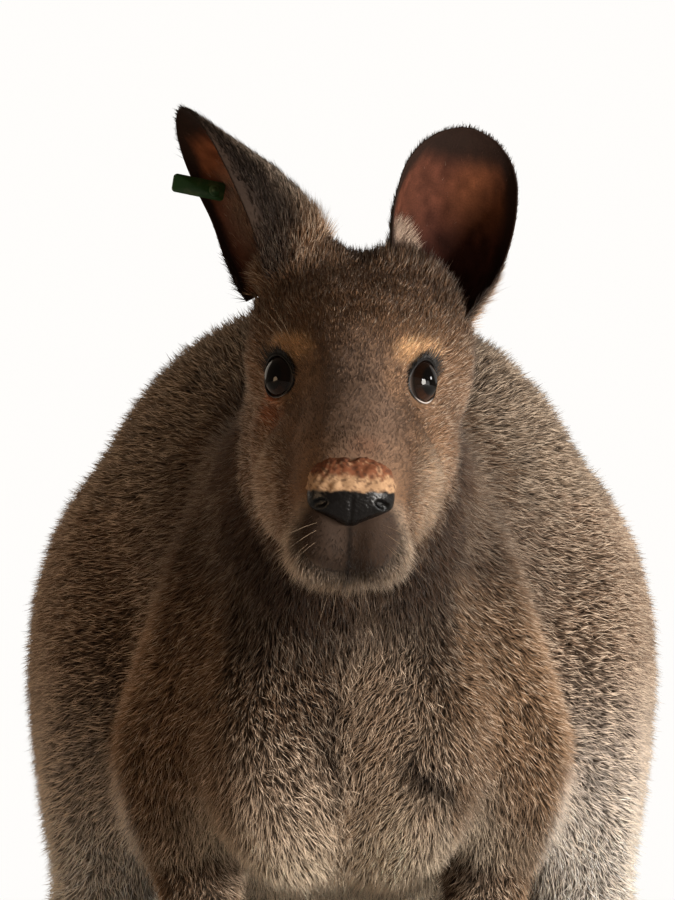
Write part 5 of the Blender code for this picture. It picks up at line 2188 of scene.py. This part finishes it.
@dataclass(frozen=True)
class FurFinish:
    """Hair that is dark at its root, with dark underfur and painted shade deep in the coat, of its own colour
    along the shaft and often pale at its tip.
    """

    name: str = "fur"
    roughness: float = 0.6
    sheen: float = 0.03
    specular: float = 0.14
    # dark underfur and painted shade deep in the coat
    root: float = 0.34
    shaft: Span = (0.05, 0.55)
    tip: Span = (0.42, 0.7)

    def make(self) -> Material:
        """Makes the material.

        Returns:
            The new material.
        """
        nodes = Nodes(self.name)
        along = nodes.number(ALONG_ATTRIBUTE)
        end = nodes.step(along, self.tip, (0.0, 1.0))
        mix = nodes.add("ShaderNodeMix", data_type="RGBA")
        for place, source in zip(MIX_INPUTS, (end, nodes.stored(), nodes.stored(TIP_ATTRIBUTE))):
            nodes.tree.links.new(source, mix.inputs[place])
        nodes.shaded(mix.outputs[MIX_RESULT], nodes.step(along, self.shaft, (self.root, 1.0)))
        nodes.set(Roughness=self.roughness, Specular_IOR_Level=self.specular, Sheen_Weight=self.sheen)
        return nodes.material


@dataclass(frozen=True)
class SkinFinish:
    """The skin between the hairs: the coat's colours, a little uneven, with short hair as bump."""

    name: str = "skin"
    roughness: float = 0.75
    specular: float = 0.08
    grain: float = 1400.0

    def make(self) -> Material:
        """Makes the material.

        Returns:
            The new material.
        """
        nodes = Nodes(self.name)
        noise = nodes.noise((self.grain,) * 3, 3.0)
        nodes.shaded(nodes.stored(), nodes.step(noise, (0.3, 0.7), (0.86, 1.12)))
        nodes.bump(noise, 0.25)
        nodes.set(Roughness=self.roughness, Specular_IOR_Level=self.specular)
        return nodes.material


@dataclass(frozen=True)
class GlossFinish:
    """A smooth wet surface in the colour that its mesh stores."""

    name: str
    roughness: float
    specular: float

    def make(self) -> Material:
        """Makes the material.

        Returns:
            The new material.
        """
        nodes = Nodes(self.name)
        nodes.link(nodes.stored(), "Base Color")
        nodes.set(Roughness=self.roughness, Specular_IOR_Level=self.specular)
        return nodes.material


@dataclass(frozen=True)
class NoseFinish:
    """Wet black leather, and dull crust where the stored value says so."""

    name: str = "nose_leather"
    wet: float = 0.28
    dry: float = 0.85
    specular: float = 0.26
    grain: float = 1500.0

    def make(self) -> Material:
        """Makes the material.

        Returns:
            The new material.
        """
        nodes = Nodes(self.name)
        nodes.link(nodes.stored(), "Base Color")
        rough = nodes.step(nodes.number(CRUST_ATTRIBUTE), (0.0, 1.0), (self.wet, self.dry), smooth=False)
        nodes.link(rough, "Roughness")
        nodes.bump(nodes.noise((self.grain,) * 3, 3.0), 0.35)
        nodes.set(Specular_IOR_Level=self.specular)
        return nodes.material


@dataclass(frozen=True)
class CloudyFinish:
    """Two colours in soft clouds, so many to the metre along each axis: hair, horn or plastic."""

    name: str
    low: Colour
    high: Colour
    roughness: float
    specular: float = 0.5
    span: Span = (0.0, 1.0)
    clouds: Place = (400.0, 400.0, 400.0)
    detail: float = 2.0

    def make(self) -> Material:
        """Makes the material.

        Returns:
            The new material.
        """
        nodes = Nodes(self.name)
        scale = nodes.add("ShaderNodeValToRGB", Fac=nodes.noise(self.clouds, self.detail))
        for stop, place, colour in zip(scale.color_ramp.elements, self.span, (self.low, self.high)):
            stop.position = place
            stop.color = (*colour, 1.0)
        nodes.link(scale.outputs["Color"], "Base Color")
        nodes.set(Roughness=self.roughness, Specular_IOR_Level=self.specular)
        return nodes.material

    @classmethod
    def plain(cls, name: str, colour: Colour, roughness: float) -> "CloudyFinish":
        """A finish of one colour, a little lighter and darker in places."""
        low, high = (tuple(share * value for value in colour) for share in (0.8, 1.2))
        return cls(name, low, high, roughness)


# ---- studio


@dataclass
class Studio:
    """A pale floor, soft lights and the camera."""

    distance: float = 3.0
    camera_shift: Span = (-0.0055, -0.029)
    scale: float = 0.00041
    picture_height: int = 900
    sensor: float = 36.0
    floor_half: float = 2.4
    floor_front: float = 1.5
    floor_colour: Tuple[float, ...] = (0.8, 0.79, 0.77, 1.0)
    seen_colour: Tuple[float, ...] = (1.0, 0.985, 0.965, 1.0)
    light_colour: Tuple[float, ...] = (1.0, 0.8, 0.61, 1.0)
    light_strength: float = 0.11
    aim: Place = (0.0, 0.1, -0.14)
    lamps: Tuple[Tuple[str, Place, float, float, Colour], ...] = (
        ("key", (1.9, -1.6, -0.04), 1.1, 104.0, (1.0, 0.94, 0.87)),
        ("fill", (0.7, -2.4, -0.1), 2.0, 4.0, (1.0, 0.88, 0.74)),
        ("spark_front", (2.0, -2.2, 0.48), 0.34, 13.0, (1.0, 0.98, 0.95)),
        ("spark_side", (2.6, 0.34, 0.5), 0.34, 9.5, (1.0, 0.98, 0.95)),
        ("low_right", (-1.8, -0.7, -0.24), 0.9, 12.0, (1.0, 0.68, 0.42)),
        ("low_left", (1.9, -0.5, -0.24), 0.9, 6.0, (1.0, 0.98, 0.96)),
        ("rim_left", (1.3, 1.3, 0.6), 1.2, 2.0, (1.0, 0.96, 0.91)),
        ("rim_right", (-1.3, 1.5, 0.6), 1.2, 3.0, (1.0, 0.88, 0.74)),
    )

    def build(self) -> None:
        """Makes the floor, the world, the lights and the camera."""
        self.floor()
        self.world()
        self.lights()
        self.camera()
        bpy.context.scene.view_settings.view_transform = "Standard"

    def floor(self) -> None:
        """A plain pale floor that ends before the camera's view reaches it."""
        half, front = self.floor_half, -self.floor_front
        corners = np.array([(-half, front, 0.0), (half, front, 0.0), (half, half, 0.0), (-half, half, 0.0)])
        floor = linked("floor", new_mesh("floor", corners, np.array([(0, 1, 2, 3)])))
        nodes = Nodes("floor_paint")
        nodes.set(Base_Color=self.floor_colour, Roughness=0.8)
        floor.data.materials.append(nodes.material)

    def world(self) -> None:
        """A warm white surround, bright to the eye and dimmer as light."""
        world = bpy.data.worlds.new("surround")
        bpy.context.scene.world = world
        world.use_nodes = True
        tree = world.node_tree
        tree.nodes.clear()
        kinds = ("OutputWorld", "MixShader", "Background", "Background", "LightPath")
        out, mix, seen, light, path = (tree.nodes.new(f"ShaderNode{kind}") for kind in kinds)
        seen.inputs["Color"].default_value = self.seen_colour
        light.inputs["Color"].default_value = self.light_colour
        light.inputs["Strength"].default_value = self.light_strength
        tree.links.new(path.outputs["Is Camera Ray"], mix.inputs["Fac"])
        tree.links.new(light.outputs["Background"], mix.inputs[1])
        tree.links.new(seen.outputs["Background"], mix.inputs[2])
        tree.links.new(mix.outputs["Shader"], out.inputs["Surface"])

    def lights(self) -> None:
        """A large soft key from the front and the animal's left, a dim fill, and weaker ones round it."""
        aim = HEAD.origin + np.array(self.aim)
        for name, offset, size, power, colour in self.lamps:
            data = bpy.data.lights.new(name, "AREA")
            data.shape = "DISK"
            data.size = size
            data.energy = power
            data.color = colour
            lamp = linked(name, data)
            lamp.location = Vector(aim + np.array(offset))
            lamp.rotation_euler = (Vector(aim) - lamp.location).to_track_quat("-Z", "Y").to_euler()

    def camera(self) -> None:
        """A long lens, level, in front of the face."""
        data = bpy.data.cameras.new("camera")
        data.sensor_width = self.sensor
        data.lens = self.sensor * self.distance / (self.scale * self.picture_height)
        data.clip_end = 50.0
        camera = linked("camera", data)
        x, y, z = HEAD.origin
        camera.location = (x + self.camera_shift[0], y - self.distance, z + self.camera_shift[1])
        camera.rotation_euler = (math.pi / 2.0, 0.0, 0.0)
        bpy.context.scene.camera = camera


def dress(material: Material, *pieces: Piece) -> None:
    """Gives pieces their finish and reports each.

    Args:
        material: The finish.
        *pieces: The pieces that get it.
    """
    for piece in pieces:
        piece.data.materials.clear()
        piece.data.materials.append(material)
        log.info("%s: %s, %d faces", piece.name, material.name, len(piece.data.polygons))


def main() -> None:
    """Builds the dressed wallaby and its studio."""
    logging.basicConfig(level=logging.INFO, format="%(name)s: %(message)s")
    eye = GlossFinish("eye_gloss", 0.05, 0.22).make()
    rim = GlossFinish("bare_rim", 0.45, 0.25).make()
    lash = CloudyFinish.plain("lash", srgb(12, 10, 9), 0.5).make()
    whisker = CloudyFinish.plain("whisker", srgb(150, 128, 104), 0.6).make()
    horn = CloudyFinish(
        "claw_horn", srgb(24, 20, 17), srgb(66, 54, 44), 0.38, 0.5, (0.35, 0.75), (900.0, 120.0, 900.0), 3.0
    ).make()
    plastic = CloudyFinish(
        "tag_plastic", srgb(40, 80, 38), srgb(92, 110, 72), 0.42, 0.45, (0.5, 0.8), (260.0, 260.0, 260.0), 4.0
    ).make()
    skin = Skin()
    dress(SkinFinish().make(), skin.build())
    skin.paint()
    for side in Side:
        dress(eye, Eyeball(side).build())
        dress(rim, Lid(side).build())
        dress(lash, Lashes(side).build())
    dress(NoseFinish().make(), NosePad().build())
    dress(whisker, Whiskers().build())
    dress(horn, *Claws().build())
    dress(plastic, EarTag().build())
    dress(FurFinish().make(), *Coat(skin).build())
    Studio().build()


if __name__ == "__main__":
    main()
